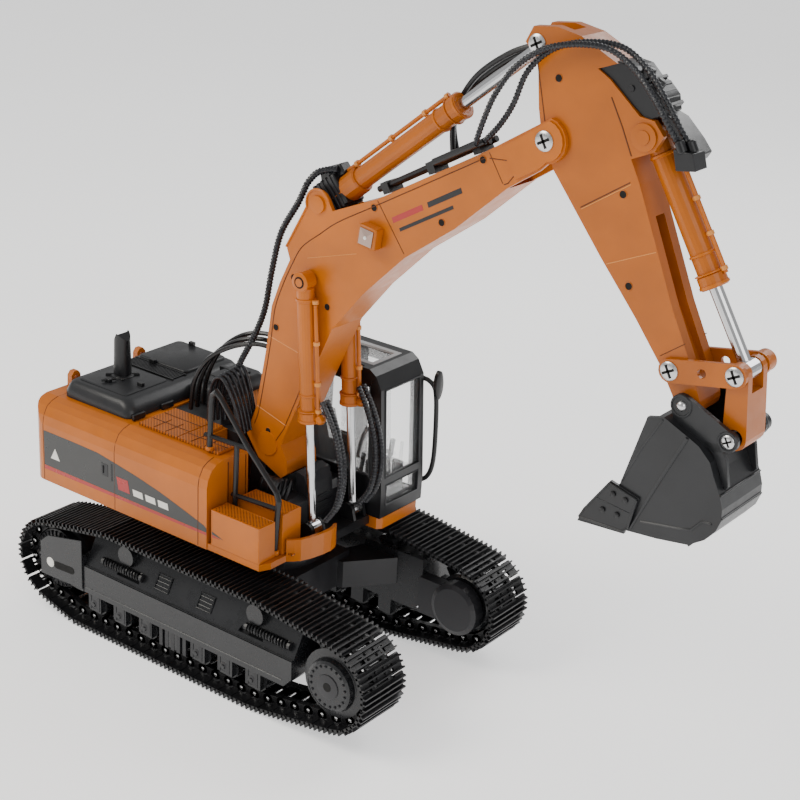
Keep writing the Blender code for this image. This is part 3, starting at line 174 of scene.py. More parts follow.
def perforated(name, colour, pitch_mm, rough):
    """Plastic tread with a staggered grid of round dimples, each painted darker inside as painted shade."""
    mat, tree, shader = shader_tree(name)
    coords = add(tree, "ShaderNodeTexCoord").outputs["Object"]
    turn = add(tree, "ShaderNodeMapping")
    turn.inputs["Rotation"].default_value = (0, 0, math.radians(45))
    turn.inputs["Scale"].default_value = (1000 / pitch_mm, 1000 / pitch_mm, 0.0)
    tree.links.new(coords, turn.inputs["Vector"])
    cells = add(tree, "ShaderNodeTexVoronoi", feature="F1")
    cells.inputs["Scale"].default_value = 1.0
    cells.inputs["Randomness"].default_value = 0.0
    tree.links.new(turn.outputs["Vector"], cells.inputs["Vector"])
    hole = level(tree, cells.outputs["Distance"], 0.24, 0.36, 0.0, 1.0)
    # painted shade: the inside of each dimple is darkened to 0.28 of the plate colour
    tint = ramp(tree, hole.outputs["Result"], ((0.0, shade(colour, 0.28)), (1.0, colour)))
    tree.links.new(tint.outputs["Color"], shader.inputs["Base Color"])
    bump = add(tree, "ShaderNodeBump")
    bump.inputs["Strength"].default_value = 0.9
    bump.inputs["Distance"].default_value = 0.0006
    tree.links.new(hole.outputs["Result"], bump.inputs["Height"])
    tree.links.new(bump.outputs["Normal"], shader.inputs["Normal"])
    shader.inputs["Roughness"].default_value = rough
    return mat


def polished(name, colour, rough, scratch=0.05):
    """Plated metal with fine turning marks."""
    mat, tree, shader = shader_tree(name)
    coords = add(tree, "ShaderNodeTexCoord").outputs["Object"]
    fine = noise(tree, coords, 700.0, 4.0, 0.7)
    gloss = level(tree, fine.outputs["Fac"], 0.3, 0.7, rough, rough + scratch)
    tree.links.new(gloss.outputs["Result"], shader.inputs["Roughness"])
    tint = ramp(tree, fine.outputs["Fac"], ((0.3, shade(colour, 0.93)), (0.7, colour)))
    tree.links.new(tint.outputs["Color"], shader.inputs["Base Color"])
    shader.inputs["Metallic"].default_value = 1.0
    return mat


def clear(name, colour, rough, weight=0.9):
    """Thin clear plastic window with faint haze."""
    mat, tree, shader = shader_tree(name)
    coords = add(tree, "ShaderNodeTexCoord").outputs["Object"]
    haze = noise(tree, coords, 160.0, 3.0)
    gloss = level(tree, haze.outputs["Fac"], 0.3, 0.7, rough, rough + 0.05)
    tree.links.new(gloss.outputs["Result"], shader.inputs["Roughness"])
    shader.inputs["Base Color"].default_value = (*colour, 1.0)
    shader.inputs["Transmission Weight"].default_value = weight
    shader.inputs["IOR"].default_value = 1.3
    shader.inputs["Alpha"].default_value = 0.32
    return mat


def braided(name, colour):
    """Woven sleeve over a rubber hose."""
    mat, tree, shader = shader_tree(name)
    coords = add(tree, "ShaderNodeTexCoord").outputs["Object"]
    weave = add(tree, "ShaderNodeTexVoronoi", feature="F1")
    weave.inputs["Scale"].default_value = 900.0
    tree.links.new(coords, weave.inputs["Vector"])
    tint = ramp(tree, weave.outputs["Distance"], ((0.1, shade(colour, 2.2)), (0.6, colour)))
    tree.links.new(tint.outputs["Color"], shader.inputs["Base Color"])
    bump = add(tree, "ShaderNodeBump")
    bump.inputs["Strength"].default_value = 0.6
    bump.inputs["Distance"].default_value = 0.0003
    tree.links.new(weave.outputs["Distance"], bump.inputs["Height"])
    tree.links.new(bump.outputs["Normal"], shader.inputs["Normal"])
    shader.inputs["Roughness"].default_value = 0.28
    return mat


ORANGE_RGB = (0.46, 0.115, 0.0)
ARM_RGB = (0.40, 0.098, 0.0)
M = {
    "orange": moulded("orange_plastic", ORANGE_RGB, 0.36, 0.22, 0.12),
    "arm": moulded("arm_plastic", ARM_RGB, 0.36, 0.22, 0.12),
    "groove": moulded("groove_shadow", (0.10, 0.025, 0.003), 0.6),
    "light_seam": moulded("seam_highlight", (0.62, 0.24, 0.05), 0.35),
    "black": moulded("black_plastic", (0.007, 0.007, 0.008), 0.33, 0.3, 0.15, spread=0.25, worn=1.4),
    "dark": moulded("dark_plastic", (0.013, 0.013, 0.015), 0.34, 0.3, 0.1, spread=0.2, worn=1.3),
    "hood": moulded("hood_plastic", (0.014, 0.0145, 0.016), 0.36, 0.35, 0.1, spread=0.15, worn=1.25),
    "track": moulded("track_plastic", (0.006, 0.006, 0.007), 0.36, 0.4, 0.1, spread=0.3, worn=1.6),
    "frame": moulded("frame_plastic", (0.011, 0.0115, 0.013), 0.27, 0.3, 0.2, spread=0.2, worn=1.3),
    "bucket": moulded("bucket_plastic", (0.013, 0.0135, 0.015), 0.34, 0.3, 0.1, spread=0.15, worn=1.25),
    "hole": moulded("hole_shadow", (0.004, 0.0035, 0.003), 0.8),
    "decal": moulded("decal_black", (0.022, 0.022, 0.021), 0.3, 0.05, 0.3, spread=0.08, worn=1.05),
    "stripe": moulded("decal_red", (0.38, 0.012, 0.01), 0.3, 0.05, 0.3, spread=0.08, worn=1.05),
    "grey": moulded("light_grey_plastic", (0.36, 0.37, 0.38), 0.35, 0.2),
    "white": moulded("white_plastic", (0.8, 0.78, 0.72), 0.35, 0.1),
    "tread": perforated("tread_orange", ORANGE_RGB, 2.1, 0.42),
    "chrome": polished("chrome_rod", (0.62, 0.62, 0.63), 0.14),
    "steel": polished("screw_steel", (0.62, 0.62, 0.62), 0.22, 0.12),
    "slew": polished("slew_steel", (0.3, 0.3, 0.31), 0.35, 0.1),
    "glass": clear("window_clear", (0.93, 0.95, 0.96), 0.03),
    "lens": polished("lamp_reflector", (0.36, 0.26, 0.22), 0.16, 0.1),
    "hose": moulded("hose_rubber", (0.006, 0.006, 0.007), 0.3, 0.2, 0.2, spread=0.2, worn=1.5),
    "braid": braided("hose_braid", (0.006, 0.0065, 0.009)),
    "battery": moulded("battery_wrap", (0.03, 0.08, 0.35), 0.35, 0.1),
    "board": moulded("board_mask", (0.02, 0.16, 0.07), 0.35, 0.1),
    "seat": moulded("seat_plastic", (0.02, 0.02, 0.022), 0.55, 0.5),
}

# ------------------------------------------------------------------ mesh tools


def new_mesh():
    return bmesh.new()


def frustum(bm, rings, closed_loop=False):
    rows = [[bm.verts.new(Vector(p)) for p in ring] for ring in rings]
    count = len(rows[0])
    pairs = list(zip(rows, rows[1:]))
    if closed_loop:
        pairs.append((rows[-1], rows[0]))
    for low, high in pairs:
        for i in range(count):
            bm.faces.new((low[i], low[(i + 1) % count], high[(i + 1) % count], high[i]))
    if not closed_loop:
        bm.faces.new(rows[0])
        bm.faces.new(list(reversed(rows[-1])))


def slab_y(bm, outline, y0, y1):
    frustum(bm, [[(x, y, z) for x, z in outline] for y in (y0, y1)])


def slab_z(bm, outline, z0, z1):
    frustum(bm, [[(x, y, z) for x, y in outline] for z in (z0, z1)])


def block(bm, x0, x1, y0, y1, z0, z1):
    slab_z(bm, [(x0, y0), (x1, y0), (x1, y1), (x0, y1)], z0, z1)


def lathe(bm, profile, centre, axis, sides=24):
    """Turn (along, radius) points about an axis."""
    axis = Vector(axis).normalized()
    side = axis.orthogonal().normalized()
    other = axis.cross(side)
    centre = Vector(centre)
    rings = []
    for along, radius in profile:
        ring = []
        for i in range(sides):
            turn = 2 * math.pi * i / sides
            ring.append(centre + axis * along + (side * math.cos(turn) + other * math.sin(turn)) * radius)
        rings.append(ring)
    frustum(bm, rings)


def bar(bm, points, radius, sides=8, radii=None):
    """A round bar through points; radii gives one radius for each point."""
    points = [Vector(p) for p in points]
    rings = []
    side = None
    for i, point in enumerate(points):
        before = (point - points[i - 1]).normalized() if i else None
        after = (points[i + 1] - point).normalized() if i + 1 < len(points) else None
        along = ((before or after) + (after or before)).normalized()
        if side is None:
            side = along.orthogonal().normalized()
        side = (side - along * side.dot(along)).normalized()
        other = along.cross(side)
        size = radii[i] if radii else radius
        ring = []
        for k in range(sides):
            turn = 2 * math.pi * k / sides
            ring.append(point + (side * math.cos(turn) + other * math.sin(turn)) * size)
        rings.append(ring)
    frustum(bm, rings)


def route(points, step):
    """Points a step apart on a smooth curve through a route."""
    points = [Vector(p) for p in points]
    ends = [points[0] * 2 - points[1]] + points + [points[-1] * 2 - points[-2]]
    fine = []
    for i in range(len(points) - 1):
        a, b, c, d = ends[i:i + 4]
        for k in range(24):
            t = k / 24
            fine.append(0.5 * ((2 * b) + (c - a) * t + (2 * a - 5 * b + 4 * c - d) * t * t
                               + (3 * b - a - 3 * c + d) * t * t * t))
    fine.append(points[-1])
    result = [fine[0]]
    left = step
    for a, b in zip(fine, fine[1:]):
        length = (b - a).length
        while left <= length:
            result.append(a.lerp(b, left / length))
            left += step
        left -= length
    return result


def ribbed(bm, points, radius, pitch=2.6, sides=10, depth=0.26):
    """A hose with a ridge at each pitch."""
    path = route(points, pitch / 2)
    radii = [radius * (1.0 if i % 2 else 1.0 - depth) for i in range(len(path))]
    bar(bm, path, radius, sides, radii)


def arc(centre, radius, start, end, count):
    result = []
    for i in range(count + 1):
        turn = math.radians(start + (end - start) * i / count)
        result.append((centre[0] + radius * math.cos(turn), centre[1] + radius * math.sin(turn)))
    return result


def make(name, bm, mat, body, replaces=(), bevel=0.0, smooth=35.0, blend=None, squash=None):
    """Turn a bmesh in millimetres from the swing axis into a piece that rides on a body."""
    bmesh.ops.recalc_face_normals(bm, faces=bm.faces)
    bmesh.ops.scale(bm, vec=(MM, MM, MM), verts=bm.verts)
    bmesh.ops.translate(bm, vec=(AXIS_X, 0, 0), verts=bm.verts)
    mesh = bpy.data.meshes.new(name)
    bm.to_mesh(mesh)
    bm.free()
    mesh.materials.append(M[mat])
    obj = bpy.data.objects.new(name, mesh)
    bpy.context.scene.collection.objects.link(obj)
    mesh.shade_smooth()
    mesh.set_sharp_from_angle(angle=math.radians(smooth))
    if bevel:
        step = obj.modifiers.new("edges", "BEVEL")
        step.width = bevel * MM
        step.segments = 2
        step.limit_method = "ANGLE"
        step.angle_limit = math.radians(40)
        step.harden_normals = False
    if blend:
        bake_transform(obj)
    else:
        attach(obj, body)
    if squash:
        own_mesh(obj)
    if replaces:
        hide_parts(*replaces)
    return obj


def paint(node, mat, bevel=0.0):
    """Give a carried-over CAD node its finished material and softened edges."""
    obj = frame["nodes"][node]
    obj.data.materials.clear()
    obj.data.materials.append(M[mat])
    if bevel:
        step = obj.modifiers.new("edges", "BEVEL")
        step.width = bevel * MM
        step.segments = 2
        step.limit_method = "ANGLE"
        step.angle_limit = math.radians(50)


# ------------------------------------------------------------------ tracks

TRACK_Y = 75.0
SHOE_HALF = 22.5
PIN_DROP = 7.0


def pin_line(count):
    """Evenly spaced (x, z) pins round the belt, with the same path as the CAD belt."""
    radius, top = 29.0, 85.0
    corners = [(-115.0, PIN_DROP), (70.0, PIN_DROP)]
    path = corners + arc(SPROCKET, radius, -76, 80, 18) + [(76.0, top), (-76.0, top)]
    path += arc(IDLER, radius, 100, 252, 18)
    path = [Vector(p) for p in path]
    spans = [(path[(i + 1) % len(path)] - path[i]).length for i in range(len(path))]
    total = sum(spans)
    result, index, passed = [], 0, 0.0
    for k in range(count):
        want = total * k / count
        while passed + spans[index] < want:
            passed += spans[index]
            index += 1
        share = (want - passed) / spans[index]
        result.append(path[index].lerp(path[(index + 1) % len(path)], share))
    return result


def shoe(bm):
    """One shoe in (along, across, out) about its pin line, with three ribs, two windows and four bolts."""
    def ribs():
        for t, top in ((-5.0, 6.9), (-0.6, 6.9), (3.8, 6.9)):
            yield [(t - 0.9, 2.4), (t + 0.9, 2.4), (t + 0.55, top), (t - 0.55, top)]
    plate = [(-6.1, 2.3), (6.1, 2.3), (6.3, 3.6), (5.6, 4.3), (-5.6, 4.3), (-6.4, 3.4)]
    windows = ((-13.5, -8.5), (8.5, 13.5))
    edges = [-SHOE_HALF + 0.1]
    for low, high in windows:
        edges += [low, high]
    edges.append(SHOE_HALF - 0.1)
    for i in range(0, len(edges), 2):
        slab_y(bm, plate, edges[i], edges[i + 1])
    for low, high in windows:
        slab_y(bm, [(-6.1, 2.3), (-4.2, 2.3), (-4.2, 4.3), (-5.6, 4.3)], low, high)
        slab_y(bm, [(1.2, 2.3), (6.1, 2.3), (5.6, 4.3), (1.2, 4.3)], low, high)
    for rib in ribs():
        slab_y(bm, rib, -SHOE_HALF + 0.1, SHOE_HALF - 0.1)
    for y in (-4.5, 4.5):
        for t in (-2.8, 1.6):
            lathe(bm, [(0, 1.1), (1.0, 1.0), (1.2, 0.6)], (t, y, 4.2), (0, 0, 1), 6)


def link_plates(bm):
    """The two side links under a shoe, overlapping the next pair at the pins."""
    for low, high in ((-11.0, -8.6), (8.6, 11.0)):
        outline = arc((-6.8, 0), 3.9, 120, 250, 5) + arc((6.8, 0), 3.9, -70, 60, 5) + [(4.6, 2.4),
                                                                                       (-4.6, 2.4)]
        slab_y(bm, outline, low, high)
    for low, high in ((-8.5, -6.4), (6.4, 8.5)):
        outline = arc((-6.8, 0), 3.5, 90, 270, 5) + arc((6.8, 0), 3.5, -90, 90, 5)
        slab_y(bm, outline, low, high)


def place_link(bm, source, here, ahead, y):
    """Copy a link mesh so that it runs from one pin to the next."""
    along = (ahead - here).normalized()
    out = Vector((along.y, -along.x))
    middle = (here + ahead) / 2
    matrix = Matrix(((along.x, 0, out.x, middle.x), (0, 1, 0, y), (along.y, 0, out.y, middle.y),
                     (0, 0, 0, 1)))
    copy = source.copy()
    bmesh.ops.transform(copy, matrix=matrix, verts=copy.verts)
    mesh = bpy.data.meshes.new("link_copy")
    copy.to_mesh(mesh)
    copy.free()
    bm.from_mesh(mesh)
    bpy.data.meshes.remove(mesh)


def track_belt(side, word):
    pins = pin_line(LINKS)
    y = side * TRACK_Y
    single_shoe, single_link = new_mesh(), new_mesh()
    shoe(single_shoe)
    link_plates(single_link)
    shoes, links, ends = new_mesh(), new_mesh(), new_mesh()
    for i, here in enumerate(pins):
        ahead = pins[(i + 1) % LINKS]
        place_link(shoes, single_shoe, here, ahead, y)
        place_link(links, single_link, here, ahead, y)
        lathe(ends, [(-11.6, 0.8), (-11.2, 1.5), (11.2, 1.5), (11.6, 0.8)], (here.x, y, here.y),
              (0, 1, 0), 12)
    single_shoe.free()
    single_link.free()
    make(f"track_shoes_{word}", shoes, "track", "undercarriage",
         replaces=(f"track_loop_{word}",), smooth=30)
    make(f"track_links_{word}", links, "track", "undercarriage", smooth=30)
    make(f"track_pins_{word}", ends, "steel", "undercarriage", smooth=40)


def wheel_details(side, word):
    """Bolt rings and lightening holes of the sprocket, and the idler's spokes and bolt."""
    face = side * 86.6
    bolts, holes = new_mesh(), new_mesh()
    out = (0, side, 0)
    x, z = SPROCKET
    for i in range(26):
        turn = 2 * math.pi * i / 26
        px, pz = x + 23.6 * math.cos(turn), z + 23.6 * math.sin(turn)
        lathe(holes, [(0, 1.15), (2.35, 1.15)], (px, face, pz), out, 10)
    for i in range(20):
        turn = 2 * math.pi * (i + 0.5) / 20
        px, pz = x + 15.2 * math.cos(turn), z + 15.2 * math.sin(turn)
        lathe(bolts, [(0, 1.1), (1.1, 1.0), (1.4, 0.5)], (px, side * 94.9, pz), out, 8)
    lathe(bolts, [(0, 20.4), (0.8, 20.6), (1.2, 20.0)], (x, side * 88.6, z), out, 40)
    lathe(bolts, [(0, 9.5), (0.9, 9.2), (1.0, 8.6)], (x, side * 94.9, z), out, 32)
    lathe(holes, [(0, 3.4), (1.1, 3.4)], (x, side * 94.95, z), out, 20)
    make(f"sprocket_bolts_{word}", bolts, "dark", f"sprocket_{word}")
    make(f"sprocket_holes_{word}", holes, "hole", f"sprocket_{word}")
    x, z = IDLER
    spokes, cap = new_mesh(), new_mesh()
    for i in range(30):
        turn = 2 * math.pi * i / 30
        c, s = math.cos(turn), math.sin(turn)
        points = [(x + r * c, side * 87.1, z + r * s) for r in (11.0, 19.0, 23.0)]
        bar(spokes, points, 0.7, 6)
    lathe(cap, [(0, 4.2), (0.8, 4.2), (1.6, 3.2), (2.0, 1.4)], (x, side * 94.6, z), out, 24)
    make(f"idler_spokes_{word}", spokes, "dark", f"idler_{word}")
    make(f"idler_bolt_{word}", cap, "white", "undercarriage")
    paint(f"sprocket_{word}", "frame", 0.3)
    paint(f"idler_{word}", "dark", 0.3)
    paint(f"idler_yoke_{word}", "frame", 0.3)
    paint(f"final_drive_{word}", "dark", 0.4)
    paint(f"track_frame_{word}", "frame", 0.5)


def slope_point(side, x, share, lift=0.0):
    """A point on the side frame's sloped shoulder; share runs from its ledge to its top."""
    y0, z0, y1, z1 = 92.0, 53.0, 80.0, 75.0
    run = math.hypot(y0 - y1, z1 - z0)
    ny, nz = (z1 - z0) / run, (y0 - y1) / run
    return (x, side * (y0 + (y1 - y0) * share + ny * lift), z0 + (z1 - z0) * share + nz * lift)


def frame_details(side, word):
    """Springs, hatches, rings, ridges and roller guards of a side frame."""
    springs, trims, dark = new_mesh(), new_mesh(), new_mesh()
    for start in (-84.0, 62.0):
        coil = []
        turns, length = 13, 36.0
        for i in range(turns * 12 + 1):
            angle = 2 * math.pi * i / 12
            share = 0.36 + 0.11 * math.cos(angle)
            coil.append(slope_point(side, start + length * i / (turns * 12), share,
                                    1.4 + 2.2 * math.sin(angle)))
        bar(springs, coil, 0.75, 6)
        for x in (start - 2, start + length + 2):
            lathe(springs, [(-1.5, 2.0), (-1.2, 3.2), (1.2, 3.2), (1.5, 2.0)],
                  slope_point(side, x, 0.36, 1.4),
                  (1, 0, 0), 10)
        bar(springs, [slope_point(side, start - 3, 0.36, 1.2),
                      slope_point(side, start + length + 3, 0.36, 1.2)],
            1.2, 8)
    for x in (-33.0, 10.0):
        rim = [slope_point(side, x + dx, s, 0.5) for dx,
               s in ((0, 0.25), (14, 0.25), (14, 0.72), (0, 0.72), (0, 0.25))]
        bar(trims, rim, 0.6, 6)
        for k in range(3):
            s = 0.36 + 0.13 * k
            bar(trims, [slope_point(side, x + 1, s, 0.3), slope_point(side, x + 13, s, 0.3)], 0.5, 6)
    for x in (-48.0, 34.0):
        ring = []
        for i in range(25):
            turn = 2 * math.pi * i / 24
            ring.append((x + 4.6 * math.cos(turn), side * 79.5, 80.0 + 4.6 * math.sin(turn)))
        bar(dark, ring, 0.75, 6)
    bar(trims, [(-103, side * 94.0, 35.5), (97, side * 94.0, 35.5)], 0.45, 6)
    bar(trims, [slope_point(side, -103.5, 1.0), slope_point(side, 105.5, 1.0)], 0.8, 8)
    bar(trims, [(-103.5, side * 92.4, 53.2), (105.5, side * 92.4, 53.2)], 0.7, 8)
    for x in (-96, -68.7, -41.4, 12.0, 39.2, 66.5):
        for dx in (-4.4, 4.4):
            slab_y(dark, [(x + dx - 1.4, 17), (x + dx + 1.4, 17), (x + dx + 1.4, 31), (x + dx - 1.4, 31)],
                   *sorted((side * 88.5, side * 91.5)))
        lathe(dark, [(0, 5.0), (2.0, 4.6), (2.6, 3.0)], (x, side * 89, 21.5), (0, side, 0), 16)
        lathe(trims, [(0, 2.0), (0.9, 1.6)], (x, side * 91.5, 21.5), (0, side, 0), 12)
    slab_y(dark, [(-28, 15), (0, 15), (0, 31), (-28, 31)], *sorted((side * 87.4, side * 89.4)))
    for i in range(5):
        x = -26 + 6 * i
        slab_y(dark, [(x, 14.5), (x + 3.4, 14.5), (x + 3.4, 29), (x, 29)], *sorted((side * 89, side * 91.4)))
    plate, slot = new_mesh(), new_mesh()
    slab_y(plate, [(-151, 59), (-142, 66.5), (-104.6, 74.5), (-104.6, 33), (-151, 31)],
           *sorted((side * 94.6, side * 95.5)))
    slab_y(slot, arc((-133, 44.0), 3.0, 90, 270, 8) + arc((-116, 45.0), 3.0, -90, 90, 8),
           *sorted((side * 95.4, side * 95.65)))
    make(f"tensioner_plate_{word}", plate, "frame", "undercarriage", bevel=0.4)
    make(f"tensioner_slot_{word}", slot, "hole", "undercarriage")
    make(f"frame_springs_{word}", springs, "black", "undercarriage")
    make(f"frame_trims_{word}", trims, "frame", "undercarriage")
    make(f"frame_guards_{word}", dark, "dark", "undercarriage")


# ------------------------------------------------------------------ house

SIDE = 81.0


def body_edge(side, share):
    """A point (y, z) up the body's side from z 104 and over its shoulder."""
    profile = [(81.0, 104.0), (81.0, 150.0), (79.8, 157.0), (76.0, 163.5), (71.0, 166.4), (65.0, 168.0)]
    spans = [math.dist(a, b) for a, b in zip(profile, profile[1:])]
    want = share * sum(spans)
    for (a, b), span in zip(zip(profile, profile[1:]), spans):
        if want <= span:
            t = want / span
            return side * (a[0] + (b[0] - a[0]) * t), a[1] + (b[1] - a[1]) * t
        want -= span
    return side * profile[-1][0], profile[-1][1]


def side_decal(side, word):
    """Dark flash and its red line along the lower side, ending in a point, with no lettering."""
    flash, line = new_mesh(), new_mesh()
    y = side * (SIDE + 0.12)
    low, high = sorted((side * (SIDE - 0.3), y))
    top = [(-159.5, 145.0), (-125, 145.0), (-100, 144.5), (-82.5, 142.0), (-60, 138.5), (-35, 133.5),
           (-12, 127.5),
           (9.5, 121.5), (11.9, 119.8)]
    bottom = [(11.9, 116.6), (-159.5, 116.4)]
    slab_y(flash, top + bottom, low, high)
    slab_y(line, [(-159.5, 113.0), (11.9, 114.4), (11.9, 116.3), (-159.5, 116.1)], low, high)
    make(f"side_flash_{word}", flash, "decal", "house")
    make(f"side_line_{word}", line, "stripe", "house")
    badge, mark = new_mesh(), new_mesh()
    low, high = sorted((side * (SIDE + 0.1), side * (SIDE + 0.25)))
    slab_y(badge, [(-78, 121.5), (-66, 121.5), (-68, 131.5), (-80, 131.5)], low, high)
    for x in (-62, -49, -36):
        slab_y(mark, [(x, 121.5), (x + 10, 121.5), (x + 9, 126.5), (x - 1, 126.5)], low, high)
    slab_y(mark, [(-152, 124), (-142, 124), (-147, 133)], low, high)
    make(f"side_badge_{word}", badge, "stripe", "house")
    make(f"side_marks_{word}", mark, "white", "house")
    if side < 0:
        tip, tip_line = new_mesh(), new_mesh()
        low, high = -80.65, -80.3
        slab_y(tip, [(16.2, 116.8), (16.2, 119.4), (28, 115.8)], low, high)
        slab_y(tip_line, [(16.2, 114.4), (16.2, 116.4), (25, 115.2)], low, high)
        make("flash_tip", tip, "decal", "house")
        make("line_tip", tip_line, "stripe", "house")


def seams(side, word):
    """Dark parting lines that follow the body's side and shoulder."""
    bm = new_mesh()
    for x in ((3.5,) if side < 0 else ()):
        points = []
        for i in range(25):
            y, z = body_edge(side, i / 24)
            points.append((x, y, z))
        bar(bm, points, 0.32, 6)
    for x in (-160.2, -82.2):
        points = []
        for i in range(25):
            y, z = body_edge(side, i / 24)
            points.append((x, y - side * 0.12, z - 0.05))
        bar(bm, points, 0.34, 6)
    make(f"body_seams_{word}", bm, "groove", "house")


def rounded(x0, x1, y0, y1, radius, count=5):
    """A rectangle's (x, y) outline with rounded corners."""
    points = arc((x0 + radius, y0 + radius), radius, 180, 270, count)
    points += arc((x1 - radius, y0 + radius), radius, 270, 360, count)
    points += arc((x1 - radius, y1 - radius), radius, 0, 90, count)
    return points + arc((x0 + radius, y1 - radius), radius, 90, 180, count)


def hood_details():
    """The rounded engine hood with its raised panels, louvre strip, catches and stack."""
    hood, panels, fine, knobs = new_mesh(), new_mesh(), new_mesh(), new_mesh()
    levels = ((168.35, 0, 0), (172, 0, 0), (176.5, 1.6, 3), (179.6, 3.2, 6.5), (181.0, 5.4, 10))
    frustum(hood, [[(x, y, z) for x, y in rounded(-160 + d, -86 - f, -61 + d, 66 - d, 8)] for z, d,
                   f in levels])
    make("hood_shell", hood, "hood", "house", replaces=("engine_cover",), smooth=50)
    frustum(panels, [[(x, y, z) for x, y in rounded(-153 + d, -100 - d, 12 + d, 59 - d, 4)]
                     for z, d in ((180.6, 0), (182.6, 0.2), (183.4, 1.2))])
    frustum(panels, [[(x, y, z) for x, y in rounded(-152 + d, -100 - d, -52 + d, -6 - d, 4)]
                     for z, d in ((180.6, 0), (181.5, 0.2), (181.9, 1.0))])
    frustum(panels, [[(x, y, z) for x, y in rounded(-88, -60 - d, 2 + d, 61 - d, 4)]
                     for z, d in ((168.5, 0), (177.5, 0.3), (180.6, 2.4))])
    frustum(panels, [[(x, y, z) for x, y in rounded(-84, -66, 12 + d, 52 - d, 3)]
                     for z, d in ((180.2, 0), (182.6, 0.8))])
    make("hood_panels", panels, "hood", "house", smooth=50)
    for i in range(27):
        x = -152 + 2.0 * i
        block(fine, x, x + 1.0, -3.5, 9.5, 180.7, 182.0)
    for y in (-4.4, 9.8):
        block(fine, -153, -97.5, y, y + 0.9, 180.7, 182.3)
    for y in (22.0, 40.0):
        block(fine, -90, -59.4, y, y + 3.0, 172.0, 183.0)
    make("hood_louvres", fine, "black", "house")
    for x, y, z in ((-134, 10.5, 182.0), (-136.6, 57, 183.3), (-129.3, -41.5, 181.8), (-106, -30, 181.8)):
        block(knobs, x - 2.6, x + 2.6, y - 1.6, y + 1.6, z, z + 3.0)
    bar(knobs, [(-132, -46, 183.6), (-127, -36, 183.6)], 1.1, 8)
    bar(knobs, [(-129.5, -41.5, 181.5), (-129.5, -41.5, 185)], 1.2, 8)
    lathe(knobs, [(0, 9.2), (1.2, 9.2), (1.8, 8.0)], (-132, -24, 181.3), (0, 0, 1), 28)
    for turn in (45, 135, 225, 315):
        c, s_ = math.cos(math.radians(turn)), math.sin(math.radians(turn))
        bar(knobs, [(-132 + 6 * c, -24 + 6 * s_, 182.4), (-132 + 13 * c, -24 + 13 * s_, 182.4)], 1.3, 6)
    for y0, y1 in ((-60.0, -48.0), (-30.0, -18.0), (20.0, 32.0), (48.0, 60.0)):
        block(knobs, -84.9, -82.6, y0, y1, 168.5, 173.0)
    make("hood_catches", knobs, "black", "house", bevel=0.3)
    stack = new_mesh()
    outer, low = [], []
    for i in range(28):
        turn = 2 * math.pi * i / 28
        x, y = 6.9 * math.cos(turn), 6.4 * math.sin(turn)
        top = min(207 + (x + 6.9) * 1.5, 218.0 - max(0.0, x - 0.4) * 0.9)
        low.append((-132 + x * 1.05, -24 + y * 1.05, 181.9))
        outer.append((-132 + x * 0.95, -24 + y * 0.95, top))
    frustum(stack, [low, outer])
    make("exhaust_stack", stack, "black", "house", replaces=("exhaust",), smooth=40)


def tread_plates():
    """Perforated anti-slip areas on the deck, the steps and beside the boom well."""
    bm, steps, marks = new_mesh(), new_mesh(), new_mesh()
    low, high = 168.4, 170.3
    slab_z(bm, [(-76, -61), (-37.5, -61), (-37.5, -23), (-76, -23)], low, high)
    slab_z(bm, [(-36.5, -61), (4, -61), (4, -40), (-27, -40), (-27, -23), (-36.5, -23)], low, high)
    make("tread_top", bm, "tread", "house", replaces=("tread_deck",))
    block(steps, 17.5, 60.5, -79.2, -65.2, 135.2, 136.35)
    block(steps, 21.5, 62.2, -56.6, -39.2, 138.2, 139.35)
    block(steps, -79, -24, 22, 62, 167.6, 168.4)
    block(steps, 56, 70.5, -55.0, -40.0, 108.4, 109.4)
    make("tread_steps", steps, "tread", "house")
    for x0, x1, y in ((-75, -38, -48), (-75, -38, -35.5), (-36, 3, -50.5)):
        bar(marks, [(x0, y, 170.35), (x1, y, 170.35)], 0.4, 6)
    for x in (-62, -50, -24, -11):
        bar(marks, [(x, -60, 170.35), (x, -41, 170.35)], 0.35, 6)
    make("tread_marks", marks, "groove", "house")


def front_panels():
    """Vertical grooves on the side box's front, the deck's front edge, the step rims and a side catch."""
    bm = new_mesh()
    for y in (-59, -40.5):
        block(bm, 11.6, 12.3, y - 0.4, y + 0.4, 110, 165)
    make("front_grooves", bm, "groove", "house")
    edge = new_mesh()
    block(edge, 69.6, 70.7, -8.4, 32.4, 103.1, 109.0)
    make("front_edge", edge, "black", "house")
    rims = new_mesh()
    bar(rims, [(16.6, -80.2, 110), (16.6, -80.2, 135.4), (61.4, -80.2, 135.4), (61.4, -80.2, 110)], 0.6, 8)
    bar(rims, [(61.4, -80.0, 135.6), (61.4, -64.6, 135.6), (16.6, -64.6, 135.6)], 0.6, 8)
    bar(rims, [(20.6, -57.4, 138.6), (62.9, -57.4, 138.6), (62.9, -38.4, 138.6)], 0.6, 8)
    make("step_rims", rims, "orange", "house")
    catch = new_mesh()
    block(catch, -96, -89, -81.35, -80.8, 128, 138)
    bar(catch, [(-94, -81.5, 130), (-94, -81.5, 136)], 0.7, 8)
    block(catch, -86, -84.4, -81.4, -80.8, 126, 140)
    make("side_catch", catch, "black", "house", bevel=0.2)


def rail_feet():
    """Small sockets where the rail's posts meet the body."""
    bm = new_mesh()
    y = -60.9
    lathe(bm, [(0, 3.2), (1.6, 3.2), (2.4, 2.6)], (-4.5, y, 170.5), (0, 0, 1), 16)
    lathe(bm, [(0, 3.4), (3.0, 3.4), (3.6, 2.6)], (59.2, y, 108.5), (0, 0, 1), 16)
    make("rail_feet", bm, "orange", "house")


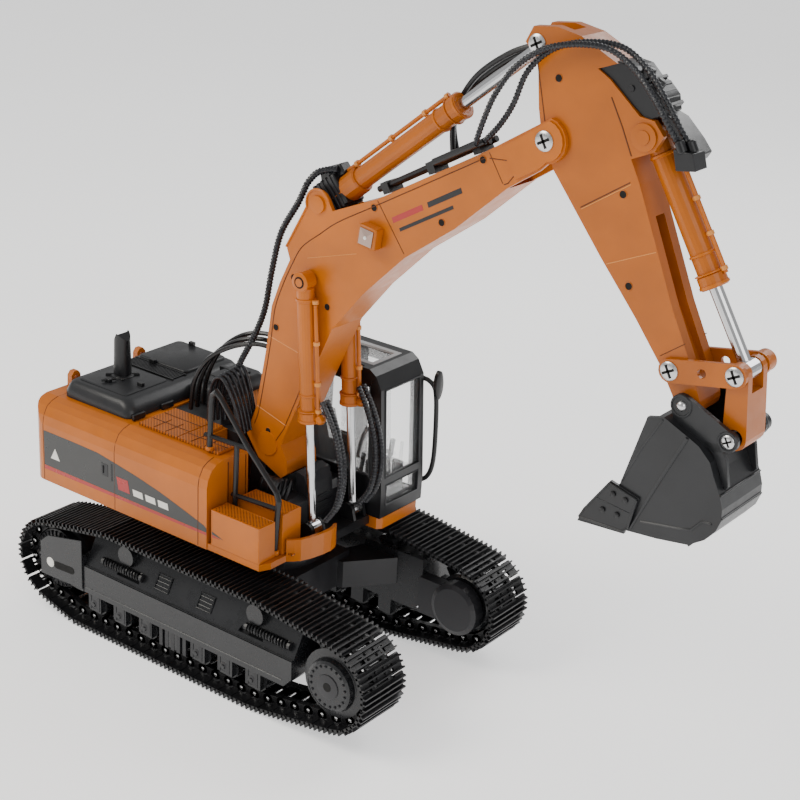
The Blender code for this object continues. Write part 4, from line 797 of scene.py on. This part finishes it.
def cab_details():
    """Window surrounds, roof frame, door hinges and handle, mirror and levers."""
    seals, pale, dark, glassy = new_mesh(), new_mesh(), new_mesh(), new_mesh()
    y0, y1 = 33.0, 84.0
    for x0, x1, ya, yb in ((2.4, 61.6, 41.4, 45.4), (2.4, 61.6, 71.6, 75.6), (2.4, 6.4, 45.4, 71.6),
                           (57.6, 61.6, 45.4, 71.6)):
        block(pale, x0, x1, ya, yb, 223.5, 225.2)
    for z0, z1, inset in ((141, 210, 5), (119, 135, 6)):
        front = [(80.2 - max(0.0, z - 129) * 0.0438, y, z) for y, z in
                 ((y0 + inset, z0), (y1 - inset, z0), (y1 - inset, z1), (y0 + inset, z1), (y0 + inset, z0))]
        bar(seals, front, 0.9, 6)
    side = [(-12, 141), (68, 141), (66, 212), (-10, 212), (-12, 141)]
    bar(seals, [(x, y0 - 0.2, z) for x, z in side], 0.8, 6)
    for outline in ([(26, 116), (70, 116), (67, 212), (22, 212), (26, 116)],
                    [(-12, 141), (16, 141), (13, 212), (-10, 212), (-12, 141)]):
        bar(seals, [(x, y1 + 0.2, z) for x, z in outline], 0.8, 6)
    bar(dark, [(72, 84.6, 150), (72, 86.5, 152), (72, 86.5, 176), (72, 84.6, 178)], 1.1, 8)
    block(dark, 18, 19.6, 84.0, 84.4, 112, 216)
    for z in (122, 168, 206):
        lathe(dark, [(-4, 1.6), (4, 1.6)], (19, 84.6, z), (0, 0, 1), 10)
    for x in (-8, 6, 20, 34, 48):
        block(dark, x, x + 9, 36.0, 36.8, 225.05, 225.5)
    lathe(pale, [(0, 5.0), (1.2, 5.2), (2.4, 4.6)], (60.5, 59.5, 148), (-0.5, 0, 1), 20)
    bar(pale, route([(50, 46, 148), (53, 46, 162), (58, 47, 174), (64, 50, 178)], 2.0), 1.7, 8)
    bar(dark, [(64, 52, 140), (58, 52, 150)], 1.6, 8)
    make("window_seals", seals, "dark", "house")
    make("roof_frame", pale, "grey", "house")
    make("cab_fittings", dark, "black", "house")
    rail = new_mesh()
    bar(rail, route([(72, 86.2, 206), (79, 88.5, 204), (84, 90.0, 196), (85.5, 90.4, 170), (85, 90.2, 140),
                     (81, 88.8, 126), (73, 86.3, 121)], 3.0), 1.9, 10)
    for spot in ((72, 85.6, 206), (73, 85.6, 121)):
        lathe(rail, [(-1.2, 3.0), (1.4, 3.0)], spot, (0, 1, 0), 14)
    ring = [(90.5 + 4.6 * math.cos(2 * math.pi * i / 24), 202 + 11.5 * math.sin(2 * math.pi * i / 24))
            for i in range(24)]
    frustum(rail, [[(x, 90.5 + (y - 90.5) * k, 202 + (z - 202) * k) for y, z in ring]
                   for x, k in ((83.7, 0.85), (84.4, 1.0), (87.0, 1.0), (87.6, 0.85))])
    make("mirror_and_rail", rail, "black", "house", replaces=("mirror_rail",), smooth=40)
    frustum(glassy, [[(x, 90.5 + (y - 90.5) * 0.8, 202 + (z - 202) * 0.88) for y,
                      z in ring] for x in (83.5, 83.8)])
    make("mirror_glass", glassy, "chrome", "house")


def well_details():
    """Fins, gears and leads on the motor case between the boom cylinders."""
    case, fine, wires = new_mesh(), new_mesh(), new_mesh()
    for i in range(4):
        z = 112 + i * 5.5
        block(fine, 49.4, 50.4, -13, 13, z, z + 2.6)
    for y in (-30.0, -24.0, 18.0, 24.0):
        block(fine, 49.3, 50.1, y, y + 2.4, 112, 128)
    lathe(case, [(-9, 5.5), (-8, 6.5), (8, 6.5), (9, 5.5)], (24, -24, 138.5), (1, 0, 0.05), 24)
    lathe(case, [(-7, 5.0), (7, 5.0)], (28, 24, 138), (1, 0, 0), 20)
    for x in (18, 24, 30):
        lathe(case, [(-0.8, 7.2), (0.8, 7.2)], (x, -24, 138.5), (1, 0, 0), 24)
    for i in range(4):
        points = [(20 + 5 * i, -16, 135), (24 + 5 * i, -20, 143 + i), (30 + 4 * i, -27, 141),
                  (30 + 4 * i, -31, 134)]
        bar(wires, route(points, 2.0), 0.9, 6)
    make("boom_motor_parts", case, "black", "house", bevel=0.3)
    make("boom_motor_fins", fine, "dark", "house", bevel=0.2)
    make("boom_motor_leads", wires, "hose", "house")


# ------------------------------------------------------------------ screws and recesses


def cross_screw(heads, slots, x, y, z, side, radius=4.6):
    """A silver cross-head screw facing along Y."""
    out = (0, side, 0)
    lathe(heads, [(0, radius), (0.7, radius), (1.3, radius * 0.86), (1.6, radius * 0.5)], (x, y, z), out, 28)
    low, high = sorted((y + side * 1.05, y + side * 1.72))
    long, thin = radius * 0.72, radius * 0.14
    for turn in (28, 118):
        c, s = math.cos(math.radians(turn)), math.sin(math.radians(turn))
        outline = []
        for u, v in ((-long, -thin), (long, -thin), (long, thin), (-long, thin)):
            outline.append((x + u * c - v * s, z + u * s + v * c))
        slab_y(slots, outline, low, high)


def deep_hole(rims, holes, x, y, z, side, radius=2.6):
    """A dark screw recess with a soft rim."""
    out = (0, side, 0)
    lathe(holes, [(-0.5, radius), (0.12, radius)], (x, y, z), out, 20)
    ring = []
    for i in range(21):
        turn = 2 * math.pi * i / 20
        ring.append((x + radius * math.cos(turn), y + side * 0.1, z + radius * math.sin(turn)))
    bar(rims, ring, 0.28, 5)


def hole_set(name, body, mat, spots, y, sides=(-1, 1), radius=2.6):
    rims, holes = new_mesh(), new_mesh()
    for side in sides:
        for x, z in spots:
            deep_hole(rims, holes, x, side * y, z, side, radius)
    make(f"{name}_rims", rims, mat, body)
    make(f"{name}_recesses", holes, "hole", body)


def screw_set(name, body, spots, sides=(-1, 1)):
    heads, slots = new_mesh(), new_mesh()
    for (x, z), y, radius in spots:
        for side in sides:
            cross_screw(heads, slots, x, side * y, z, side, radius)
    make(f"{name}_screws", heads, "steel", body)
    make(f"{name}_slots", slots, "hole", body)


# ------------------------------------------------------------------ boom and arm

BOOM_Y = 16.5
BOOM_EDGE_BACK = [(-1.5, 178), (3.0, 192), (12.0, 241), (16.0, 271), (22.6, 290), (31.5, 309), (40, 323),
                  (56, 336),
                  (72, 348), (106, 367.5), (190, 416)]


def ribbon(bm, points, y, side, width=0.5, rise=0.12):
    """A fine raised line along (x, z) points on a face that looks along Y."""
    bar(bm, [(x, side * (y + rise - 0.2), z) for x, z in points], width, 6)


def boom_details():
    grooves, seams_, rim = new_mesh(), new_mesh(), new_mesh()
    for side in (-1, 1):
        ribbon(grooves, [(p.x, p.y) for p in route([(x, z, 0) for x, z in BOOM_EDGE_BACK], 3.0)], BOOM_Y,
               side, 0.42)
        ribbon(grooves, [(104, 369.5), (128, 338)], BOOM_Y, side, 0.34)
        ribbon(grooves, [(190.5, 418.5), (202, 401)], BOOM_Y, side, 0.34)
        ribbon(seams_, [(10.5, 250), (45, 243)], BOOM_Y, side, 0.32)
        ribbon(seams_, [(0.5, 193), (29, 185)], BOOM_Y, side, 0.32)
        ribbon(seams_, [(45, 316), (88, 329)], BOOM_Y, side, 0.25)
        emboss = [(191, 415), (209, 416.5), (213, 412), (206, 402), (203, 400.5)]
        ribbon(grooves, emboss, BOOM_Y, side, 0.4)
        ribbon(grooves, [(10, 156), (27, 182), (47, 230)], BOOM_Y, side, 0.4)
    bracket = arc(ARM_CYL_BASE, 10.4, 20, 200, 10) + [(25.5, 320)]
    for side in (-1, 1):
        ribbon(rim, bracket, BOOM_Y, side, 0.9, 0.3)
        lathe(rim, [(0, 6.4), (1.6, 6.2), (1.8, 4.4)], (ARM_CYL_BASE[0], side * BOOM_Y, ARM_CYL_BASE[1]),
              (0, side, 0), 28)
        lathe(rim, [(0, 9.5), (0.9, 9.2)], (BOOM_FOOT[0], side * BOOM_Y, BOOM_FOOT[1]), (0, side, 0), 28)
    make("boom_grooves", grooves, "groove", "boom")
    make("boom_weld_lines", seams_, "light_seam", "boom")
    make("boom_bosses", rim, "orange", "boom")
    hole_set("boom", "boom", "orange",
             [(101.5, 364), (186, 413), (157, 366), (33, 299), (64, 285), (17.5, 258), (12, 176)], BOOM_Y)
    screw_set("boom_tip", "boom", [(ARM_PIVOT, 18.0, 6.4)])
    lamp, bezel = new_mesh(), new_mesh()
    case = [(94, 339), (109, 337), (111, 352), (96, 354)]
    slab_y(lamp, case, -25.2, -16.8)
    make("lamp_case", lamp, "orange", "boom", replaces=("work_lamp",), bevel=1.0)
    centre = (102.4, -26.4, 345.4)
    for i, corner in enumerate([(96.2, 340.6), (107.2, 339.2), (108.9, 350.4), (97.8, 352.0)]):
        nxt = [(96.2, 340.6), (107.2, 339.2), (108.9, 350.4), (97.8, 352.0)][(i + 1) % 4]
        frustum(bezel, [[(corner[0], -25.1, corner[1]), (nxt[0], -25.1, nxt[1]),
                         (centre[0], -25.3, centre[2])],
                        [(corner[0], -25.9, corner[1]), (nxt[0], -25.9, nxt[1]), centre]])
    make("lamp_reflector", bezel, "lens", "boom", smooth=10)
    bulb, bars = new_mesh(), new_mesh()
    lathe(bulb, [(0, 1.3), (0.6, 1.1)], (102.4, -26.2, 345.4), (0, -1, 0), 14)
    make("lamp_bulb", bulb, "white", "boom")
    slab_y(bars, [(118, 357), (142, 371), (140.5, 374.5), (116.5, 360.5)], -16.62, -16.3)
    make("boom_red_bar", bars, "stripe", "boom")
    bars = new_mesh()
    slab_y(bars, [(146, 373.4), (172, 388.6), (170.5, 392), (144.5, 376.8)], -16.62, -16.3)
    slab_y(bars, [(124, 352.5), (166, 377), (165, 379.2), (123, 354.7)], -16.62, -16.3)
    make("boom_black_bars", bars, "black", "boom")


def arm_details():
    y = 13.2
    grooves, seams_, rim = new_mesh(), new_mesh(), new_mesh()
    for side in (-1, 1):
        ribbon(grooves, [(219, 478), (223, 462), (228, 441)], y, side, 0.4)
        ribbon(grooves, [(271.9, 467), (281, 451), (289, 434.8)], y, side, 0.5)
        ribbon(grooves, [(257.5, 397), (290, 419)], y, side, 0.42)
        ribbon(seams_, [(258.2, 396.2), (290.6, 418)], y, side, 0.3)
        ribbon(seams_, [(279, 366), (312, 381)], y, side, 0.3)
        ribbon(grooves, [(322, 318), (338, 330)], y, side, 0.3)
        lathe(rim, [(0, 8.6), (1.3, 8.4), (1.5, 5.2)], (BUCKET_CYL_BASE[0], side * y, BUCKET_CYL_BASE[1]),
              (0, side, 0), 30)
        lathe(rim, [(0, 4.6), (2.1, 4.4)], (BUCKET_CYL_BASE[0], side * y, BUCKET_CYL_BASE[1]),
              (0, side, 0), 20)
    make("arm_grooves", grooves, "groove", "arm")
    make("arm_weld_lines", seams_, "light_seam", "arm")
    make("arm_bosses", rim, "arm", "arm")
    hole_set("arm", "arm", "arm", [(234.6, 472), (286, 411), (296, 356)], y)
    screw_set("arm_end", "arm", [(ARM_CYL_END, y, 6.0)])
    screw_set("rocker", "rocker", [(ROCKER_PIVOT, 16.5, 6.0), (LINK_TOP, 16.5, 6.0)], (-1,))
    housing, fine = new_mesh(), new_mesh()
    slab_y(housing, [(257, 477), (265, 486.5), (273, 488), (284, 486.5), (291, 480), (297, 477.5), (304, 471),
                     (306, 462), (297, 456.5), (285, 464), (270, 475)], -11.5, 11.5)
    slab_y(housing, [(303, 463), (312, 460), (324, 449), (330, 442), (327, 437), (320, 438.5),
                     (313, 448)], -9, 9)
    lathe(housing, [(-8, 7.5), (-6, 8.6), (8, 8.6), (9, 7)], (271, -2, 479.5), (0.9, 0, -0.35), 28)
    lathe(housing, [(-2, 4.2), (3.6, 4.2), (4.4, 3.0)], (290, -5, 482.5), (0.3, 0, 1), 20)
    lathe(housing, [(-2, 3.4), (3.0, 3.4), (4.0, 2.2)], (298, -5, 477.5), (0.5, 0, 1), 16)
    make("arm_motor_case", housing, "black", "arm", bevel=0.8)
    for i in range(5):
        x, z = 293 + i * 3.0, 479.5 - i * 3.3
        slab_y(fine, [(x, z), (x + 1.4, z - 1.4), (x + 2.6, z + 0.6), (x + 1.2, z + 2.0)], -10, 10)
    for x, z in ((262, 470), (284, 470), (300, 466)):
        lathe(fine, [(0, 2.2), (1.0, 1.8)], (x, -11.4, z + 4), (0, -1, 0), 14)
    make("arm_motor_fins", fine, "black", "arm", bevel=0.2)


def bucket_details():
    """Ridges, lip, bolted side cutters, gussets and ear bosses."""
    rim, bolts, plates, bosses, domes = new_mesh(), new_mesh(), new_mesh(), new_mesh(), new_mesh()
    y = 26.0
    cutter = [(285.4, 203.4), (288.8, 210.2), (304.8, 233), (325, 227.8), (320.5, 207), (317.2, 203.8)]
    for side in (-1, 1):
        ribbon(rim, [(353, 277.4), (337, 243), (321, 207)], y, side, 1.2, 0.25)
        ribbon(rim, [(328.1, 213.4), (354.6, 217.7), (362.4, 219.5), (369.1, 227.4), (375.6, 227.8)], y,
               side, 0.9)
        ribbon(rim, [(312, 236), (323, 261), (335.5, 284)], y, side, 0.7)
        slab_y(plates, cutter, *sorted((side * (y + 1.4), side * (y + 2.4))))
        for a, b in zip(cutter, cutter[1:] + cutter[:1]):
            bar(plates, [(a[0], side * (y + 2.3), a[1]), (b[0], side * (y + 2.3), b[1])], 0.8, 6)
        bar(plates, [(297, side * (y + 2.3), 220.5), (321, side * (y + 2.3), 217.5)], 0.45, 6)
        for x, z in ((308.3, 226.8), (317.3, 225.5), (302, 214), (312.5, 213.8)):
            lathe(bolts, [(0, 2.0), (1.2, 1.8), (1.6, 0.9)], (x, side * (y + 2.3), z), (0, side, 0), 12)
        slab_y(plates, [(360, 276), (368.5, 268.8), (378.4, 249), (380.4, 251.5), (377, 268), (371, 277)],
               *sorted((side * 16.9, side * 20.0)))
        lathe(domes, [(0, 3.4), (0.8, 3.2), (1.8, 2.2), (2.3, 0.9)],
              (BUCKET_PIVOT[0], side * 19.9, BUCKET_PIVOT[1]),
              (0, side, 0), 24)
        for (x, z), radius in ((BUCKET_PIVOT, 6.6), (LINK_BOTTOM, 5.9)):
            ring = []
            for i in range(29):
                turn = 2 * math.pi * i / 28
                ring.append((x + radius * math.cos(turn), side * 20.0, z + radius * math.sin(turn)))
            bar(bosses, ring, 0.8, 6)
    for x, z in ((379.0, 247.4), (381.7, 233.0), (362, 208.6)):
        bar(rim, [(x, -25.5, z), (x, 25.5, z)], 0.7, 8)
    bar(rim, [(285.6, -26, 201.9), (285.6, 26, 201.9)], 1.0, 8)
    lathe(bosses, [(0, 6.0), (5.5, 6.0), (6.3, 5.2)], (LINK_BOTTOM[0], 19.8, LINK_BOTTOM[1]), (0, 1, 0), 28)
    make("bucket_ribs", rim, "bucket", "bucket")
    make("bucket_cutters", plates, "bucket", "bucket", bevel=0.3)
    make("bucket_bolts", bolts, "black", "bucket")
    make("bucket_ear_bosses", bosses, "bucket", "bucket")
    make("bucket_pin_domes", domes, "steel", "bucket")
    screw_set("bucket_ear", "bucket", [(LINK_BOTTOM, 19.6, 4.4)], (-1,))
    far = new_mesh()
    lathe(far, [(0, 7.0), (7.5, 7.0), (8.3, 6.2)], (LINK_TOP[0], 16.4, LINK_TOP[1]), (0, 1, 0), 32)
    make("rocker_far_boss", far, "arm", "rocker")


def cylinder_trim(name, body, base, end, y, length, radius, clips, offset, knob=False):
    """Collars, clips and the thin pipe along a cylinder's barrel."""
    start = Vector((base[0], y, base[1]))
    axis = Vector((end[0] - base[0], 0, end[1] - base[1])).normalized()
    across = Vector(offset).normalized()
    bands, pipe, clamps = new_mesh(), new_mesh(), new_mesh()
    for place, grow, wide in ((12, 0.9, 2.0), (length - 22, 0.8, 1.6), (length - 10, 1.9, 1.2),
                              (length - 3, 1.9, 2.2)):
        lathe(bands, [(0, radius), (0.5, radius + grow), (wide, radius + grow), (wide + 0.5, radius)],
              start + axis * place, axis, 28)
    line = start + across * (radius + 2.6)
    bar(pipe, [line + axis * 16, line + axis * (length - 6)], 1.5, 10)
    for place in clips:
        spot = start + axis * place
        bar(clamps, [spot + across * (radius - 1), spot + across * (radius + 4.4)], 1.1, 8)
        lathe(clamps, [(-1.3, 2.3), (1.3, 2.3)], line + axis * place, axis, 14)
    make(f"{name}_bands", bands, "orange", body, bevel=0.0)
    make(f"{name}_pipe", pipe, "orange", body)
    make(f"{name}_clips", clamps, "light_seam", body)
    if knob:
        ball = new_mesh()
        spot = start + axis * (length - 4) + across * (radius + 4.5)
        lathe(ball, [(-3.6, 1.4), (-2.6, 3.0), (0, 3.8), (2.6, 3.0), (3.6, 1.4)], spot, (0, 1, 0), 18)
        lathe(ball, [(0, 2.4), (7, 2.4)], spot - across * 6, across, 12)
        make(f"{name}_union", ball, "orange", body)


def cylinders():
    for side, word in ((-1, "right"), (1, "left")):
        cylinder_trim(f"boom_barrel_{word}", "boom_barrels", BOOM_CYL_TOP, BOOM_CYL_BASE, side * 23, 104, 6.2,
                      (14, 44, 74, 94), (1, 0, 0.07), knob=True)
        caps, dark = new_mesh(), new_mesh()
        out = (0, side, 0)
        lathe(caps, [(0, 7.0), (1.2, 7.0), (1.8, 6.0)], (BOOM_CYL_TOP[0], side * 27.6, BOOM_CYL_TOP[1]),
              out, 28)
        lathe(dark, [(0, 4.2), (0.3, 4.2)], (BOOM_CYL_TOP[0], side * 29.35, BOOM_CYL_TOP[1]), out, 20)
        make(f"boom_barrel_cap_{word}", caps, "orange", "boom_barrels")
        make(f"boom_barrel_recess_{word}", dark, "hole", "boom_barrels")
    cylinder_trim("arm_barrel", "arm_barrel", ARM_CYL_BASE, ARM_CYL_END, 0, 134, 7.6, (34, 70, 104, 126),
                  (-0.64, 0, 0.77))
    cylinder_trim("bucket_barrel", "bucket_barrel", BUCKET_CYL_BASE, LINK_TOP, 0, 97, 7.6, (22, 44, 66, 88),
                  (0.85, 0, 0.52))
    start = Vector((ARM_CYL_BASE[0], 0, ARM_CYL_BASE[1]))
    axis = Vector((ARM_CYL_END[0] - ARM_CYL_BASE[0], 0, ARM_CYL_END[1] - ARM_CYL_BASE[1])).normalized()
    up = Vector((-axis.z, 0, axis.x))
    case = new_mesh()

    def spot(along, rise, y):
        return start + axis * along + up * rise + Vector((0, y, 0))
    for a0, a1, r0, r1, half in ((-9, 18, -10, 13, 9.5), (2, 14, 12, 20, 6.5), (15, 24, 9, 17, 5.0)):
        frustum(case, [[spot(a0, r0, s), spot(a1, r0, s), spot(a1, r1, s), spot(a0 + 4, r1, s)]
                       for s in (-half, half)])
    make("arm_cylinder_motor", case, "black", "arm_barrel", bevel=1.2)
    fins = new_mesh()
    for i in range(5):
        a = -3 + i * 4
        frustum(fins, [[spot(a, -10.5, s), spot(a + 2, -10.5, s), spot(a + 2, 13.6, s), spot(a, 13.6, s)]
                       for s in (-10.2, 10.2)])
    make("arm_cylinder_fins", fins, "dark", "arm_barrel", bevel=0.4)


# ------------------------------------------------------------------ hoses


def hoses():
    """Braided loops to the arm, the boom's back hose, the cylinder hoses and the bundle behind the boom."""
    loop = [(183, -22, 423), (189, -23, 440), (197, -23.5, 458), (211, -24, 477), (231, -24, 490.5),
            (254, -24, 496.5), (275, -24, 496.5), (293, -24, 487), (307, -23, 472), (317, -21, 457),
            (325, -18, 446)]
    bm = new_mesh()
    ribbed(bm, loop, 2.1)
    make("arm_hose_near", bm, "braid", "boom", replaces=("hose_arm_loop",),
         blend=("boom", "arm", (200, -24, 450), (300, -24, 470)))
    bm = new_mesh()
    ribbed(bm, [(184, -13, 424), (196, -15, 437), (206, -17, 452), (216, -19.0, 474), (233, -19.2, 490),
                (256, -18.8, 497.5), (280, -18.6, 498), (298, -18.2, 487), (312, -17, 470), (322, -15, 455),
                (329, -13, 446)], 2.1)
    make("arm_hose_far", bm, "braid", "boom",
         blend=("boom", "arm", (200, -24, 450), (300, -24, 470)))
    ends = new_mesh()
    for x, y in ((322, -19), (326.5, -14)):
        lathe(ends, [(0, 2.4), (1, 3.2), (7, 3.2), (8, 2.4)], (x, y, 451.5), (0.55, 0, -1), 14)
    slab_y(ends, [(320, 446), (333, 446), (336, 436), (323, 434)], -21, -7)
    make("arm_hose_ends", ends, "black", "arm", bevel=0.5)
    starts = new_mesh()
    for y0, y1 in ((-19, -22), (-12, -13)):
        bar(starts, [(150, y0, 405), (168, (y0 + y1) / 2, 415), (184, y1, 424)], 2.3, 10)
    make("boom_hose_tails", starts, "hose", "boom")
    back = [(-34, -10, 172.5), (-33, -10, 190), (-24, -10, 215), (-10, -9, 242), (-1, -8, 265),
            (5, -8, 295), (13, -8, 325), (28, -8, 350), (36, -8, 366)]
    bm = new_mesh()
    ribbed(bm, back, 2.6)
    make("back_hose", bm, "braid", "house", replaces=("hose_boom_back",),
         blend=("house", "boom", (-33, -10, 185), (-5, -8, 270)))
    tail = new_mesh()
    ribbed(tail, [(36, -8, 366), (43, -7, 374), (52, -6, 378), (62, -5, 380)], 2.6)
    make("back_hose_tail", tail, "braid", "boom")
    loops = new_mesh()
    for y, grow in ((11, 0.0), (6, 3.0)):
        bar(loops, route([(147, y, 403), (142.5 + grow, y, 423), (147 + grow, y, 441), (163, y, 457 + grow),
                          (186, y, 474 + grow), (207, y, 483 + grow)], 3.0), 1.9, 10)
    make("arm_cylinder_hoses", loops, "hose", "boom",
         blend=("boom", "arm", (150, 8, 440), (207, 8, 484)))
    axis = Vector((BOOM_CYL_TOP[0] - BOOM_CYL_BASE[0], 0, BOOM_CYL_TOP[1] - BOOM_CYL_BASE[1]))
    keep = 0.72
    for side, word in ((-1, "right"), (1, "left")):
        bm = new_mesh()
        for inset, lean in ((0.0, 0.0), (5.2, 1.5)):
            y = side * (23 - inset)
            points = [(67.5, y, 217), (78 - lean, y, 200), (85 - lean, y, 180), (87 - lean, y, 160),
                      (83 - lean, y, 140), (73.5 - lean, y, 125)]
            ribbed(bm, points, 2.3)
        make(f"boom_cylinder_hose_{word}", bm, "braid", "boom_rods",
             replaces=(f"hose_cylinder_{word}",),
             squash=("boom_lift", axis, (BOOM_CYL_BASE[0], side * 23, BOOM_CYL_BASE[1]), keep))
    bundle = new_mesh()
    for i in range(6):
        y = -29 + i * 3.6
        points = [(-40 + 1.5 * i, y + 4, 171), (-38 + i, y + 3, 190), (-32 + i, y + 1, 206 + i),
                  (-23 + i, y, 211 + i),
                  (-14 + 0.6 * i, y, 201), (-8, y + 1, 186), (-5, y + 2, 171)]
        ribbed(bundle, points, 1.5, pitch=2.2, depth=0.2)
    make("deck_hose_bundle", bundle, "braid", "house")
    fork = new_mesh()
    for i in range(3):
        y = -9 + i * 7
        points = [(-64, y - 10, 172), (-60, y - 10, 196), (-48, y - 8, 216 + 2 * i),
                  (-30, y - 4, 229 + 3 * i),
                  (-10, y, 236 + 2 * i), (10, y, 238)]
        bar(fork, route(points, 3.0), 1.8, 8)
    make("boom_foot_hoses", fork, "hose", "house",
         blend=("house", "boom", (-56, -8, 205), (0, -4, 236)))


# ------------------------------------------------------------------ CAD nodes that stay

def paint_nodes():
    plan = {
        "orange": ["platform", "counterweight", "engine_bay", "right_body", "left_body", "step_low",
                   "step_high",
                   "cab_base", "boom", "boom_barrel_right", "boom_barrel_left"],
        "arm": ["arm", "arm_barrel", "rocker", "bucket_link", "bucket_barrel"],
        "black": ["handrail", "cab_frame", "exhaust", "boom_pipe", "mirror_rail", "cylinder_bracket"],
        "hood": ["engine_cover", "centre_cover"],
        "dark": ["boom_pedestal", "chassis"],
        "bucket": ["bucket"],
        "chrome": ["arm_rod", "bucket_rod", "boom_rod_right", "boom_rod_left"],
        "slew": ["slew_ring_lower", "slew_ring_upper", "swing_motor"],
        "glass": ["windscreen", "lower_screen", "roof_glass", "side_glass_right"],
        "seat": ["seat", "console"],
        "battery": ["battery"],
        "board": ["main_board"],
    }
    soft = {"platform": 0.5, "counterweight": 0.8, "engine_bay": 0.5, "right_body": 0.6, "left_body": 0.6,
            "step_low": 0.4, "step_high": 0.4, "cab_base": 1.0, "boom": 0.6, "arm": 0.6, "rocker": 0.6,
            "bucket_link": 0.6, "cab_frame": 1.0, "engine_cover": 1.0, "centre_cover": 0.4, "chassis": 0.8,
            "bucket": 0.4, "exhaust": 0.3, "boom_pedestal": 0.4}
    for mat, nodes in plan.items():
        for node in nodes:
            paint(node, mat, soft.get(node, 0.0))


# ------------------------------------------------------------------ studio

def area_light(name, place, target, size, power, colour=(1, 1, 1)):
    data = bpy.data.lights.new(name, "AREA")
    data.shape = "RECTANGLE"
    data.size, data.size_y = size
    data.energy = power
    data.color = colour
    obj = bpy.data.objects.new(name, data)
    bpy.context.scene.collection.objects.link(obj)
    obj.location = place
    direction = Vector(target) - Vector(place)
    obj.rotation_euler = direction.to_track_quat("-Z", "Y").to_euler()
    return obj


def studio():
    mat, tree, shader = shader_tree("studio_floor")
    coords = add(tree, "ShaderNodeTexCoord").outputs["Object"]
    mottled = noise(tree, coords, 3.0, 2.0)
    tint = ramp(tree, mottled.outputs["Fac"], ((0.3, (0.93, 0.93, 0.93)), (0.7, (0.96, 0.96, 0.96))))
    tree.links.new(tint.outputs["Color"], shader.inputs["Base Color"])
    shader.inputs["Roughness"].default_value = 0.7
    shader.inputs["Emission Color"].default_value = (1.0, 1.0, 1.0, 1.0)
    shader.inputs["Emission Strength"].default_value = 0.7
    bm = new_mesh()
    frustum(bm, [[(-4, -4, -0.01), (4, -4, -0.01), (4, 4, -0.01), (-4, 4, -0.01)],
                 [(-4, -4, -0.0005), (4, -4, -0.0005), (4, 4, -0.0005), (-4, 4, -0.0005)]])
    mesh = bpy.data.meshes.new("studio_floor")
    bmesh.ops.recalc_face_normals(bm, faces=bm.faces)
    bm.to_mesh(mesh)
    bm.free()
    mesh.materials.append(mat)
    floor = bpy.data.objects.new("studio_floor", mesh)
    bpy.context.scene.collection.objects.link(floor)
    world = bpy.data.worlds.new("studio")
    world.use_nodes = True
    world.node_tree.nodes["Background"].inputs["Color"].default_value = (1.0, 1.0, 1.0, 1.0)
    world.node_tree.nodes["Background"].inputs["Strength"].default_value = 0.55
    bpy.context.scene.world = world
    area_light("key", (-0.9, -1.1, 1.5), (0, 0, 0.2), (1.0, 1.0), 23.0, (1.0, 0.96, 0.88))
    area_light("fill", (1.5, -0.8, 0.9), (0, 0, 0.2), (0.9, 0.9), 7.0)
    area_light("rim", (0.2, 1.4, 1.3), (0, 0, 0.25), (1.2, 0.8), 12.0)


def camera():
    """The picture's view: 36.8 degrees round, 22.4 up, a little tilted."""
    data = bpy.data.cameras.new("view")
    data.lens = 78.6
    data.sensor_width = 36.0
    obj = bpy.data.objects.new("view", data)
    bpy.context.scene.collection.objects.link(obj)
    turn, rise, roll = (math.radians(v) for v in (36.82, 22.37, 2.86))
    right = Vector((math.cos(turn), math.sin(turn), 0))
    back = Vector((math.sin(turn) * math.cos(rise), -math.cos(turn) * math.cos(rise), math.sin(rise)))
    up = back.cross(right)
    rolled = right * math.cos(roll) + up * math.sin(roll)
    upright = up * math.cos(roll) - right * math.sin(roll)
    place = at(789.2, -896.1, 687.0)
    obj.matrix_world = Matrix(((rolled.x, upright.x, back.x, place.x), (rolled.y, upright.y, back.y, place.y),
                               (rolled.z, upright.z, back.z, place.z), (0, 0, 0, 1)))
    bpy.context.scene.camera = obj


camera()
studio()
paint_nodes()
for track_side, track_word in ((-1, "right"), (1, "left")):
    track_belt(track_side, track_word)
    wheel_details(track_side, track_word)
    frame_details(track_side, track_word)
    side_decal(track_side, track_word)
    seams(track_side, track_word)
hood_details()
tread_plates()
front_panels()
rail_feet()
cab_details()
well_details()
boom_details()
arm_details()
bucket_details()
cylinders()
hoses()
